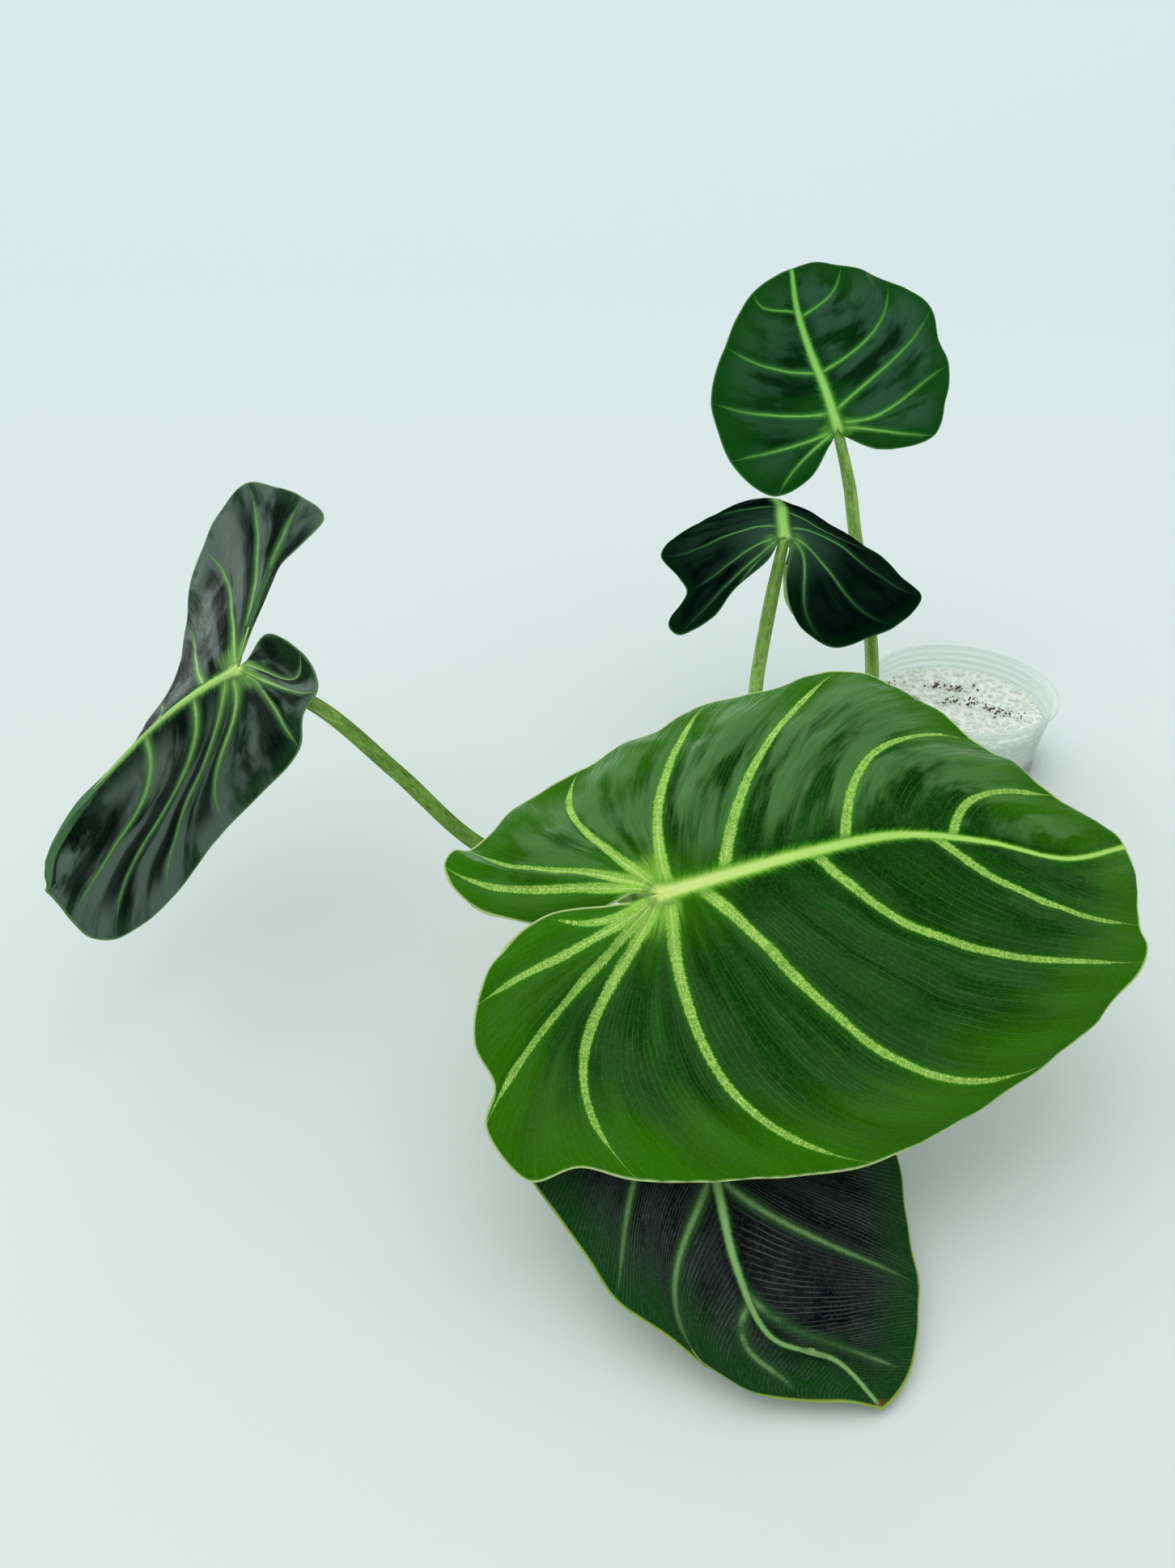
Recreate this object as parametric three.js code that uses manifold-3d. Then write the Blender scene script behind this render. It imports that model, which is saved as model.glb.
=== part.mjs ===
// A potted Philodendron luxurians: a clear ringed tub of perlite mix on a shallow saucer, a creeping
// stem that leaves the tub over its rim and lies along the surface, and five heart-shaped leaves.
// Millimetres, +Z up. The origin is the centre of the saucer's underside, and the stem creeps towards
// -X and -Y.
import * as THREE from "three";
import { mergeVertices } from "three/addons/utils/BufferGeometryUtils.js";
import Module from "manifold-3d";

const wasm = await Module();
wasm.setup();

// Clearance between neighbouring pieces
const GAP = 0.3;

// Saucer and tub
const SAUCER_RADIUS = 60;
const SAUCER_FOOT_RADIUS = 52;
const SAUCER_HEIGHT = 6;
const SAUCER_WALL = 1.2;
const SAUCER_LIP = 1;
const TUB_BASE_RADIUS = 49;
const TUB_RIM_RADIUS = 58.5;
const TUB_TOP = 47;
const TUB_WALL = 1.2;
const TUB_LIP = 2.2;
const TUB_LIP_HEIGHT = 2.4;
const TUB_RINGS = 7;
const TUB_RING_RELIEF = 0.7;
const TUB_PLAIN_BELOW = 5;
const TUB_PLAIN_ABOVE = 4;
const ROUND_SIDES = 48;

// Perlite mix
const MIX_TOP = 33;
const MIX_LUMP = 1.6;
const MIX_SIDES = 40;
const MIX_CIRCLES = 7;

// Stem: points along its middle with the radius there
const STEM = [
  { at: [-21, -16, 14], radius: 4.2 },
  { at: [-30, -23, 28], radius: 4.6 },
  { at: [-34, -26, 42], radius: 5.0 },
  { at: [-40, -31, 52], radius: 5.0 },
  { at: [-49, -39, 53.5], radius: 5.2 },
  { at: [-57, -50, 45], radius: 5.8 },
  { at: [-62, -62, 28], radius: 6.6 },
  { at: [-70, -77, 13], radius: 7.4 },
  { at: [-87, -101, 9.0], radius: 8.0 },
  { at: [-112, -128, 9.4], radius: 8.6 },
  { at: [-140, -153, 9.6], radius: 8.8 },
  { at: [-166, -171, 10.0], radius: 9.2 },
  { at: [-188, -185, 12], radius: 8.6 },
  { at: [-203, -193, 21], radius: 5.6 },
  { at: [-212, -197, 34], radius: 3.2 },
  { at: [-217, -199, 48], radius: 1.0 },
];
const STEM_SECTIONS = 46;
const STEM_SIDES = 10;
const SCAR_EVERY = 14;
const SCAR_RELIEF = 0.07;

// Short roots from the underside of the stem: place along it (0 to 1), way they turn in degrees, length
const ROOTS = [
  { along: 0.4, turn: 60, length: 26 },
  { along: 0.46, turn: -70, length: 20 },
  { along: 0.53, turn: 75, length: 30 },
  { along: 0.58, turn: -55, length: 24 },
  { along: 0.66, turn: 62, length: 22 },
  { along: 0.71, turn: -80, length: 32 },
  { along: 0.79, turn: 70, length: 20 },
];
const ROOT_RADIUS = 1.5;
const ROOT_SIDES = 5;

// Blades
const BLADE_THICKNESS = 1.0;
const MIDRIB_DEPTH = 2.2;
const MIDRIB_TAPER = 0.75;
const VEIN_DEPTH = 0.8;
// A blade narrower than this from midrib to margin is quilted less
const QUILT_FULL_SPAN = 60;
// Steps from the midrib to the margin
const CROSS_STEPS = [0, 0.05, 0.2, 0.45, 0.72, 1];

// Petioles: thicker where they leave the stem and thinner under the blade
const PETIOLE_RADIUS = 4;
const PETIOLE_FLARE = 2.2;
const PETIOLE_TAPER = 0.8;
const PETIOLE_SECTIONS = 15;
const PETIOLE_SIDES = 8;

// Each leaf has a frame of its own: the place where the petiole meets it, the heading of its midrib
// (degrees from +X towards +Y), the midrib's rise and the blade's roll. The midrib and the two margins
// are points in that frame: along the midrib, across it (left is positive) and up. A margin runs from
// the notch at the petiole round to the tip. Three more numbers mark the end of a side vein: how far
// along the midrib it leaves it, and how far to the left it bows off its chord at one and at two thirds.
// The petiole starts on the stem, at the fraction stemAt of its length, and passes through its points,
// in the whole plant's millimetres.
const LEAVES = {
  left: {
    at: [-400, -164, 148],
    heading: -122,
    rise: -27,
    roll: -38,
    camber: 0.08,
    quilt: 2.6,
    midrib: [
      [0, 0, 0], [18, -7, 3], [41, -13, 5], [75, -16, 9], [100, -15, 12], [118, -11, 17], [130, -3, 23],
    ],
    left: [
      [-7, 1, -2], [-28, 0, -12], [-28, 17, -8, 0, -4, -13], [-18, 31, 5], [-8, 37, 13, 0, -2, -3],
      [4, 38, 12], [16, 45, 3, 0, 3, 1], [32, 43, -15], [58, 37, -31, 0.03, 1, -6], [80, 35, -40],
      [103, 34, -40, 0.05, 1, -3], [118, 31, -34], [129, 26, -25, 0.2, 7, -1], [135, 18, -13],
      [134, 10, -1, 0.38, 10, 4], [132, 3, 12], [130, -3, 23],
    ],
    right: [
      [-9, -2, -1], [-30, -8, -7], [-60, -14, -9, 0, 3, 4], [-91, -11, -2], [-98, -27, -11, 0, 2, 2],
      [-98, -41, -18], [-94, -55, -26, 0, -5, -6], [-78, -60, -39], [-60, -58, -51, 0, -4, -7],
      [-43, -53, -61], [-25, -43, -66, 0.15, 1, -1], [-6, -33, -66], [17, -28, -62, 0.34, -1, -1],
      [38, -25, -50], [64, -14, -35, 0.6, -1, -1], [101, -6, -9], [130, -3, 23],
    ],
    stemAt: 0.76,
    petiole: [[-203, -184, 24], [-242, -196, 48], [-285, -199, 74], [-325, -183, 106], [-364, -166, 130]],
  },
  centre: {
    at: [-122, -6, 150],
    heading: 97,
    rise: 5,
    roll: 0,
    camber: 0.1,
    quilt: 2.4,
    midrib: [[0, 0, 0], [18, -3, 1], [38, -7, 1], [56, -7, -3], [72, -5, -14]],
    left: [
      [-3, 4, -2], [-14, 12, -7], [-30, 35, -17, 0, 0, 0], [-42, 49, -27], [-45, 68, -35, 0, 0, 1],
      [-37, 73, -34], [-12, 58, -28, 0, -2, 1], [2, 60, -26], [21, 68, -21, 0.12, -3, 6], [45, 51, -19],
      [63, 30, -18, 0.45, 3, 4], [71, 13, -15], [72, -5, -14],
    ],
    right: [
      [-7, -2, -2], [-25, 5, -12], [-44, 4, -26, 0, 1, -3], [-55, -4, -34], [-60, -18, -40, 0, 2, -9],
      [-55, -39, -38], [-45, -59, -37, 0, -3, -15], [-25, -79, -31, 0.1, 7, -6], [-8, -73, -27],
      [8, -62, -20, 0.4, -6, -8], [32, -45, -16], [55, -26, -10, 0.7, -3, -4], [72, -5, -14],
    ],
    stemAt: 0.6,
    petiole: [[-137, -134, 30], [-143, -96, 48], [-139, -56, 75], [-131, -28, 110]],
  },
  back: {
    at: [-85, 59, 192],
    heading: 105,
    rise: 50,
    roll: 0,
    camber: 0.05,
    quilt: 2.2,
    midrib: [[0, 0, 0], [24, 3, 0], [52, 7, -3], [82, 8, -7], [109, 4, -12]],
    left: [
      [-8, 5, 0], [-29, 23, -2], [-37, 44, -5, 0, -2, -3], [-32, 56, -5], [-13, 69, -7, 0, 3, 2],
      [8, 74, -6], [25, 74, -8, 0.1, 5, 5], [46, 67, -7], [60, 58, -9, 0.35, 5, 6], [74, 50, -9],
      [95, 32, -11, 0.7, 4, 8], [105, 14, -11], [109, 4, -12],
    ],
    right: [
      [-5, -2, 0], [-15, -25, -2], [-8, -66, -6, 0, 0, -1], [12, -78, -6], [38, -88, -10, 0.04, -8, -4],
      [54, -86, -11], [79, -87, -15, 0.1, -3, -5], [92, -72, -13], [99, -61, -15, 0.35, -9, -11],
      [106, -44, -13], [110, -30, -14, 0.68, -5, -6], [112, -13, -12], [109, 4, -12],
    ],
    stemAt: 0.425,
    petiole: [[-71, -74, 40], [-66, -30, 72], [-64, -8, 84], [-65, 25, 106], [-69, 46, 129], [-74, 56, 156]],
  },
  front: {
    at: [-207, -287, 114],
    heading: 9,
    rise: 3,
    roll: 24,
    camber: 0.06,
    quilt: 3,
    midrib: [
      [0, 0, 0], [30, 5, -1], [64, 10, -2], [105, 14, -6], [143, 8, -12], [176, -2, -18], [209, 3, -26],
    ],
    left: [
      [-11, 2, -1], [-39, -5, -6], [-60, 1, -7], [-74, 9, -7], [-84, 31, -10, 0, 3, 8], [-79, 37, -9],
      [-73, 38, -12, 0, -1, 4], [-51, 56, -13], [-20, 74, -18, 0, 9, 15], [10, 86, -17],
      [43, 100, -20, 0.02, 11, 10], [77, 103, -17], [108, 111, -20, 0.15, 10, 9], [138, 88, -16],
      [157, 62, -17, 0.4, 19, 20], [170, 44, -15], [183, 28, -18, 0.6, 12, 9], [195, 16, -20],
      [205, 9, -23], [209, 3, -26],
    ],
    right: [
      [-13, -2, 0], [-33, -1, 0], [-48, -3, 0, 0, 6, 7], [-65, -13, -1], [-78, -33, -6, 0, 3, 1],
      [-80, -48, -9], [-75, -63, -13], [-80, -76, -17, 0, -2, -4], [-67, -97, -21], [-48, -96, -18],
      [-27, -103, -22, 0, -15, -24], [20, -110, -21], [62, -110, -26, 0.02, -24, -28], [99, -100, -25],
      [146, -81, -29, 0.08, -21, -33], [177, -63, -29], [198, -48, -31, 0.34, -21, -17], [202, -41, -30],
      [202, -32, -29, 0.56, -9, -10], [207, -12, -26], [209, 3, -26],
    ],
    stemAt: 0.82,
    petiole: [[-198, -204, 38], [-202, -240, 67], [-206, -268, 92]],
  },
  low: {
    at: [-197, -322, 61],
    heading: -57,
    rise: -21,
    roll: 0,
    camber: 0.06,
    quilt: 2.4,
    midrib: [
      [0, 0, 0], [25, -9, -1], [50, -18, -3], [76, -27, -6], [101, -29, -8], [120, -12, -8], [140, -7, -8],
    ],
    left: [
      [-8, 3, 0], [-30, 22, -6], [-38, 48, -12, 0, -2, -3], [-24, 68, -16], [6, 77, -19, 0, -10, -12],
      [38, 72, -17], [73, 61, -14], [102, 43, -13], [115, 34, -10, 0.3, -5, -3], [129, 19, -9],
      [136, 9, -8, 0.56, -4, -2], [139, 0, -8], [140, -7, -8],
    ],
    right: [
      [-8, -3, 0], [-30, -22, -6], [-38, -48, -12, 0, 2, 3], [-20, -70, -16], [8, -75, -17, 0, -8, -8],
      [30, -73, -16], [47, -71, -16], [64, -69, -17, 0.12, -11, -8], [83, -60, -14],
      [98, -53, -15, 0.28, -8, -13], [113, -44, -12], [123, -31, -11, 0.58, -9, -4], [132, -17, -8],
      [140, -7, -8],
    ],
    stemAt: 0.71,
    petiole: [[-178, -202, 20], [-187, -244, 34], [-194, -290, 48]],
  },
};

const COLOURS = {
  tub: "#e4eeec",
  saucer: "#e4eeec",
  mix: "#dcdcd2",
  stem: "#6f7d3c",
  petiole: "#5f8f35",
  leaf: { left: "#27402d", centre: "#1c3a26", back: "#2c6632", front: "#2f7a2c", low: "#24402c" },
};

// The same small random sequence on every run
function randomFrom(seed) {
  let state = seed;
  return () => {
    state = (state + 0x6d2b79f5) | 0;
    let t = Math.imul(state ^ (state >>> 15), 1 | state);
    t = (t + Math.imul(t ^ (t >>> 7), 61 | t)) ^ t;
    return ((t ^ (t >>> 14)) >>> 0) / 4294967296;
  };
}

const vector = (point) => new THREE.Vector3(...point);
const smoothCurve = (points) => new THREE.CatmullRomCurve3(points.map(vector), false, "centripetal");

// A closed body from shared vertices and triangles
function bodyFrom(vertices, triangles) {
  const geometry = new THREE.BufferGeometry();
  const numbers = vertices.flatMap((vertex) => vertex.toArray());
  geometry.setAttribute("position", new THREE.Float32BufferAttribute(numbers, 3));
  geometry.setIndex(triangles.flat());
  return geometry;
}

function toManifold(geometry) {
  const vertProperties = new Float32Array(geometry.attributes.position.array);
  const triVerts = new Uint32Array(geometry.index.array);
  return new wasm.Manifold(new wasm.Mesh({ numProp: 3, vertProperties, triVerts }));
}

// The largest piece of a solid, without the scraps that a cut leaves
function fromManifold(solid) {
  const pieces = solid.decompose().sort((a, b) => b.volume() - a.volume());
  const mesh = pieces[0].getMesh();
  const geometry = new THREE.BufferGeometry();
  geometry.setAttribute("position", new THREE.BufferAttribute(mesh.vertProperties, 3));
  geometry.setIndex(new THREE.BufferAttribute(mesh.triVerts, 1));
  return geometry;
}

// A round body turned about Z from a closed profile of [radius, height] points, with shared vertices
function turned(profile, sides) {
  const vertices = [];
  const rings = profile.map(([radius, height]) => {
    const onAxis = radius === 0;
    const count = onAxis ? 1 : sides;
    const first = vertices.length;
    for (let k = 0; k < count; k += 1) {
      const angle = (2 * Math.PI * k) / sides;
      vertices.push(new THREE.Vector3(radius * Math.cos(angle), radius * Math.sin(angle), height));
    }
    return (k) => (onAxis ? first : first + (k % sides));
  });
  const triangles = [];
  for (let row = 0; row + 1 < rings.length; row += 1) {
    for (let k = 0; k < sides; k += 1) {
      const [a, b] = [rings[row](k), rings[row](k + 1)];
      const [c, d] = [rings[row + 1](k), rings[row + 1](k + 1)];
      if (a !== b) triangles.push([a, b, d]);
      if (c !== d) triangles.push([a, d, c]);
    }
  }
  return bodyFrom(vertices, triangles);
}

// A round tube along a smooth curve, with a radius for each fraction of its length and flat ends
function tube(curve, radiusAt, sections, sides) {
  const frames = curve.computeFrenetFrames(sections, false);
  const vertices = [];
  for (let i = 0; i <= sections; i += 1) {
    const centre = curve.getPointAt(i / sections);
    const radius = radiusAt(i / sections);
    for (let k = 0; k < sides; k += 1) {
      const angle = (2 * Math.PI * k) / sides;
      vertices.push(
        centre
          .clone()
          .addScaledVector(frames.normals[i], radius * Math.cos(angle))
          .addScaledVector(frames.binormals[i], radius * Math.sin(angle)),
      );
    }
  }
  const start = vertices.push(curve.getPointAt(0)) - 1;
  const end = vertices.push(curve.getPointAt(1)) - 1;
  const triangles = [];
  for (let k = 0; k < sides; k += 1) {
    const next = (k + 1) % sides;
    for (let i = 0; i < sections; i += 1) {
      const [row, above] = [i * sides, (i + 1) * sides];
      triangles.push([row + k, row + next, above + next], [row + k, above + next, above + k]);
    }
    triangles.push([start, next, k], [end, sections * sides + k, sections * sides + next]);
  }
  return bodyFrom(vertices, triangles);
}

// Saucer and tub

function saucerGeometry() {
  const inside = SAUCER_RADIUS - SAUCER_LIP;
  return turned(
    [
      [0, 0],
      [SAUCER_FOOT_RADIUS, 0],
      [inside, SAUCER_HEIGHT - SAUCER_LIP],
      [SAUCER_RADIUS, SAUCER_HEIGHT - SAUCER_LIP],
      [SAUCER_RADIUS, SAUCER_HEIGHT],
      [inside - SAUCER_WALL, SAUCER_HEIGHT],
      [SAUCER_FOOT_RADIUS - SAUCER_WALL / 2, SAUCER_WALL],
      [0, SAUCER_WALL],
    ],
    ROUND_SIDES,
  );
}

const TUB_BOTTOM = SAUCER_WALL + GAP;
const tubRadiusAt = (z) => {
  const up = (z - TUB_BOTTOM) / (TUB_TOP - TUB_BOTTOM);
  return TUB_BASE_RADIUS + up * (TUB_RIM_RADIUS - TUB_LIP - TUB_BASE_RADIUS);
};

function tubGeometry() {
  const lipBottom = TUB_TOP - TUB_LIP_HEIGHT;
  const firstRing = TUB_BOTTOM + TUB_PLAIN_BELOW;
  const pitch = (lipBottom - TUB_PLAIN_ABOVE - firstRing) / TUB_RINGS;
  const rings = [];
  for (let k = 0; k < TUB_RINGS; k += 1) {
    const z = firstRing + k * pitch;
    rings.push([tubRadiusAt(z), z], [tubRadiusAt(z + pitch / 2) + TUB_RING_RELIEF, z + pitch / 2]);
  }
  const floor = TUB_BOTTOM + TUB_WALL;
  return turned(
    [
      [0, TUB_BOTTOM],
      [TUB_BASE_RADIUS - 1, TUB_BOTTOM],
      [tubRadiusAt(TUB_BOTTOM + 1), TUB_BOTTOM + 1],
      ...rings,
      [tubRadiusAt(lipBottom), lipBottom],
      [TUB_RIM_RADIUS, lipBottom],
      [TUB_RIM_RADIUS, TUB_TOP],
      [tubRadiusAt(TUB_TOP) - TUB_WALL, TUB_TOP],
      [tubRadiusAt(floor) - TUB_WALL, floor],
      [0, floor],
    ],
    ROUND_SIDES,
  );
}

// Perlite mix: a lumpy top inside the tub, with a hole for the stem. Its corners stay inside the flats
// of the tub's faceted wall.
function mixGeometry(stemHole) {
  const random = randomFrom(11);
  const floor = TUB_BOTTOM + TUB_WALL + GAP;
  const inner = (z) => (tubRadiusAt(z) - TUB_WALL - GAP) * Math.cos(Math.PI / ROUND_SIDES);
  const rows = [[0, floor], [inner(floor), floor], [inner(MIX_TOP), MIX_TOP]];
  for (let ring = MIX_CIRCLES - 1; ring >= 0; ring -= 1) {
    rows.push([(inner(MIX_TOP) * ring) / MIX_CIRCLES, MIX_TOP + MIX_LUMP / 2]);
  }
  const geometry = turned(rows, MIX_SIDES);
  const place = geometry.attributes.position;
  const firstLump = 1 + 2 * MIX_SIDES;
  for (let k = firstLump; k < place.count; k += 1) {
    place.setZ(k, place.getZ(k) + MIX_LUMP * (random() - 0.4));
  }
  return fromManifold(toManifold(geometry).subtract(stemHole));
}

// Creeping stem

const stemCurve = smoothCurve(STEM.map((p) => p.at));

function stemRadiusAt(fraction, scarred = true) {
  const t = stemCurve.getUtoTmapping(fraction, 0) * (STEM.length - 1);
  const k = Math.min(Math.floor(t), STEM.length - 2);
  const radius = THREE.MathUtils.lerp(STEM[k].radius, STEM[k + 1].radius, t - k);
  const wave = Math.cos((2 * Math.PI * fraction * stemCurve.getLength()) / SCAR_EVERY);
  return scarred ? radius * (1 + SCAR_RELIEF * Math.max(0, wave)) : radius * (1 + SCAR_RELIEF) + GAP;
}

const stemTube = tube(stemCurve, (u) => stemRadiusAt(u), STEM_SECTIONS, STEM_SIDES);
const stemClearance = toManifold(tube(stemCurve, (u) => stemRadiusAt(u, false), STEM_SECTIONS, STEM_SIDES));

// A root leaves low on the stem's side, bends down to the surface and ends in a point
function rootBody({ along, turn, length }) {
  const from = stemCurve.getPointAt(along);
  const forward = stemCurve.getTangentAt(along).setZ(0).normalize();
  const away = forward.applyAxisAngle(new THREE.Vector3(0, 0, 1), THREE.MathUtils.degToRad(turn));
  const low = ROOT_RADIUS * 1.3;
  const at = (distance, height) => from.clone().setZ(height).addScaledVector(away, distance);
  const reach = stemRadiusAt(along);
  const path = [
    at(reach * 0.3, from.z - reach * 0.25),
    at(reach + 1, from.z - reach * 0.55),
    at(reach + length * 0.35, low + 0.8),
    at(reach + length, low),
  ].map((p) => p.toArray());
  return toManifold(tube(smoothCurve(path), (u) => ROOT_RADIUS * (1 - 0.72 * u), 6, ROOT_SIDES));
}

function stemGeometry() {
  let solid = toManifold(stemTube);
  for (const root of ROOTS) solid = solid.add(rootBody(root));
  return fromManifold(solid);
}

// Leaves

function leafMatrix(leaf) {
  const [heading, rise, roll] = [leaf.heading, leaf.rise, leaf.roll].map(THREE.MathUtils.degToRad);
  const along = new THREE.Vector3(
    Math.cos(rise) * Math.cos(heading),
    Math.cos(rise) * Math.sin(heading),
    Math.sin(rise),
  );
  const level = new THREE.Vector3(-Math.sin(heading), Math.cos(heading), 0);
  const over = along.clone().cross(level);
  const across = level.clone().multiplyScalar(Math.cos(roll)).addScaledVector(over, Math.sin(roll));
  return new THREE.Matrix4().makeBasis(along, across, along.clone().cross(across)).setPosition(...leaf.at);
}

// One half of a blade: s counts margin points from the notch, and rootAt(s) says how far along the
// midrib the line to that point starts
function halfBlade(leaf, midrib, side) {
  const rows = leaf[side];
  const last = rows.length - 1;
  const rim = smoothCurve(rows.map((row) => row.slice(0, 3)));
  const veinTo = (s, root, bows) => {
    const chord = rim.getPoint(s / last).sub(midrib.getPoint(root));
    return { s, root, bows, aside: new THREE.Vector3(-chord.y, chord.x, 0).normalize() };
  };
  const veins = [veinTo(0, 0, [0, 0])];
  rows.forEach((row, s) => {
    if (row.length > 3) veins.push(veinTo(s, row[3], row.slice(4)));
  });
  veins.push({ ...veins.at(-1), s: last, root: 1, bows: [0, 0] });
  const between = (s) => {
    const k = Math.min(veins.findIndex((v) => v.s > s) - 1, veins.length - 2);
    return k < 0 ? veins.length - 2 : k;
  };
  const rootAt = (s) => {
    const k = between(s);
    return THREE.MathUtils.mapLinear(s, veins[k].s, veins[k + 1].s, veins[k].root, veins[k + 1].root);
  };
  const pillowAt = (s) => {
    const k = between(s);
    return Math.sin((Math.PI * (s - veins[k].s)) / (veins[k + 1].s - veins[k].s)) ** 2;
  };
  // The cubic that is 0 at both ends and takes the two bows at one and at two thirds
  const bowOf = ({ bows, aside }, r) =>
    aside.clone().multiplyScalar(13.5 * r * (1 - r) * (bows[0] * (2 / 3 - r) + bows[1] * (r - 1 / 3)));
  const bowAt = (s, r) => {
    const k = between(s);
    return bowOf(veins[k], r).lerp(bowOf(veins[k + 1], r), (s - veins[k].s) / (veins[k + 1].s - veins[k].s));
  };
  const lastBasal = veins.filter((v) => v.root === 0).at(-1).s;
  return { side, rim, last, veins, rootAt, pillowAt, bowAt, lastBasal };
}

// How a quilted field swells from the midrib (r = 0) to the margin (r = 1); its height is near 1
const swell = (r) => 5.3 * r ** 2 * (1 - r) ** 0.8;

// A point of the upper face: r goes from 0 on the midrib to 1 on the margin
function bladePoint(leaf, midrib, half, s, r) {
  const start = midrib.getPoint(half.rootAt(s));
  const end = half.rim.getPoint(s / half.last);
  const span = start.distanceTo(end);
  const bend = start.clone().lerp(end, 0.5);
  bend.z += leaf.camber * span;
  const point = start.multiplyScalar((1 - r) ** 2);
  point.addScaledVector(bend, 2 * r * (1 - r)).addScaledVector(end, r * r);
  point.add(half.bowAt(s, r));
  point.z += leaf.quilt * half.pillowAt(s) * Math.min(1, span / QUILT_FULL_SPAN) * swell(r);
  return point;
}

// The places s where a half has its lines: through the basal lobe, then one for each midrib station
function linesOf(half, stations) {
  const lines = [];
  for (let s = 0; s < half.lastBasal + 0.25; s += 0.5) lines.push(s);
  for (const root of stations) {
    const k = half.veins.findIndex((v) => v.root >= root - 1e-9);
    const [a, b] = [half.veins[k - 1], half.veins[k]];
    lines.push(THREE.MathUtils.mapLinear(root, a.root, b.root, a.s, b.s));
  }
  return lines;
}

function bladeFace(leaf) {
  const midrib = smoothCurve(leaf.midrib);
  const halves = ["left", "right"].map((side) => halfBlade(leaf, midrib, side));
  const roots = halves.flatMap((half) => leaf[half.side].map((row, s) => half.rootAt(s)));
  const stations = [...new Set(roots.map((root) => Math.round(root * 200) / 200))];
  stations.sort((a, b) => a - b);
  const vertices = [];
  const depths = [];
  const known = new Map();
  const vertexAt = (point, depth) => {
    const key = point.toArray().map((v) => Math.round(v * 1000)).join();
    if (!known.has(key)) {
      known.set(key, vertices.push(point) - 1);
      depths.push(depth);
    }
    return known.get(key);
  };
  const triangles = [];
  for (const half of halves) {
    const lines = linesOf(half, stations.filter((root) => root > 0));
    const grid = lines.map((s) =>
      CROSS_STEPS.map((r) => {
        const root = half.rootAt(s);
        const vein = 1 - half.pillowAt(s);
        const rib = r === 0 ? MIDRIB_DEPTH * (1 - MIDRIB_TAPER * root) : VEIN_DEPTH * vein ** 4 * (1 - r);
        return vertexAt(bladePoint(leaf, midrib, half, s, r), BLADE_THICKNESS + rib);
      }),
    );
    for (let i = 0; i + 1 < grid.length; i += 1) {
      for (let j = 0; j + 1 < CROSS_STEPS.length; j += 1) {
        const quad = [grid[i][j], grid[i + 1][j], grid[i + 1][j + 1], grid[i][j + 1]];
        const corners = half.side === "left" ? quad : quad.reverse();
        for (const [a, b, c] of [[0, 1, 2], [0, 2, 3]]) {
          const triangle = [corners[a], corners[b], corners[c]];
          if (new Set(triangle).size === 3) triangles.push(triangle);
        }
      }
    }
  }
  return { vertices, triangles, depths };
}

// A closed body from an upper face: the same triangles again below it, and a wall round the edge
function thickened({ vertices, triangles, depths }) {
  const face = bodyFrom(vertices, triangles);
  face.computeVertexNormals();
  const normals = face.attributes.normal;
  const under = vertices.map((point, k) =>
    point.clone().addScaledVector(new THREE.Vector3().fromBufferAttribute(normals, k), -depths[k]),
  );
  const count = vertices.length;
  const edges = new Map();
  for (const [a, b, c] of triangles) {
    for (const [from, to] of [[a, b], [b, c], [c, a]]) edges.set(`${from},${to}`, [from, to]);
  }
  const closed = [...triangles, ...triangles.map(([a, b, c]) => [count + a, count + c, count + b])];
  for (const [from, to] of edges.values()) {
    if (edges.has(`${to},${from}`)) continue;
    closed.push([from, count + from, count + to], [from, count + to, to]);
  }
  return bodyFrom([...vertices, ...under], closed);
}

// A petiole grows out of the stem, thick at its base, and ends just under the blade
function petioleGeometry(leaf, face) {
  const matrix = leafMatrix(leaf);
  const depths = face.depths.map((depth) => depth + GAP);
  const clearance = thickened({ ...face, depths }).applyMatrix4(matrix);
  const end = new THREE.Vector3(0, 0, -1).applyMatrix4(matrix).toArray();
  const curve = smoothCurve([stemCurve.getPointAt(leaf.stemAt).toArray(), ...leaf.petiole, end]);
  const radius = (u) =>
    PETIOLE_RADIUS + PETIOLE_FLARE * Math.exp(-9 * u) - PETIOLE_TAPER * THREE.MathUtils.smoothstep(u, 0.8, 1);
  const seat = BLADE_THICKNESS + MIDRIB_DEPTH + GAP;
  const above = new THREE.BoxGeometry(28, 28, 20).translate(0, 0, 10 - seat).applyMatrix4(matrix);
  above.deleteAttribute("normal").deleteAttribute("uv");
  const solid = toManifold(tube(curve, radius, PETIOLE_SECTIONS, PETIOLE_SIDES));
  const cuts = [stemClearance, toManifold(mergeVertices(above)), toManifold(clearance)];
  return fromManifold(cuts.reduce((left, cut) => left.subtract(cut), solid));
}

// The whole plant

const group = new THREE.Group();

function place(name, geometry, colour, more = {}) {
  const material = new THREE.MeshStandardMaterial({ color: colour, roughness: 0.5, metalness: 0, ...more });
  const mesh = new THREE.Mesh(geometry, material);
  mesh.name = name;
  group.add(mesh);
  return mesh;
}

place("saucer", saucerGeometry(), COLOURS.saucer, { roughness: 0.15, transparent: true, opacity: 0.35 });
place("tub", tubGeometry(), COLOURS.tub, { roughness: 0.15, transparent: true, opacity: 0.35 });
place("perlite_mix", mixGeometry(stemClearance), COLOURS.mix, { roughness: 0.95 });
place("stem", stemGeometry(), COLOURS.stem, { roughness: 0.6 });

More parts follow.
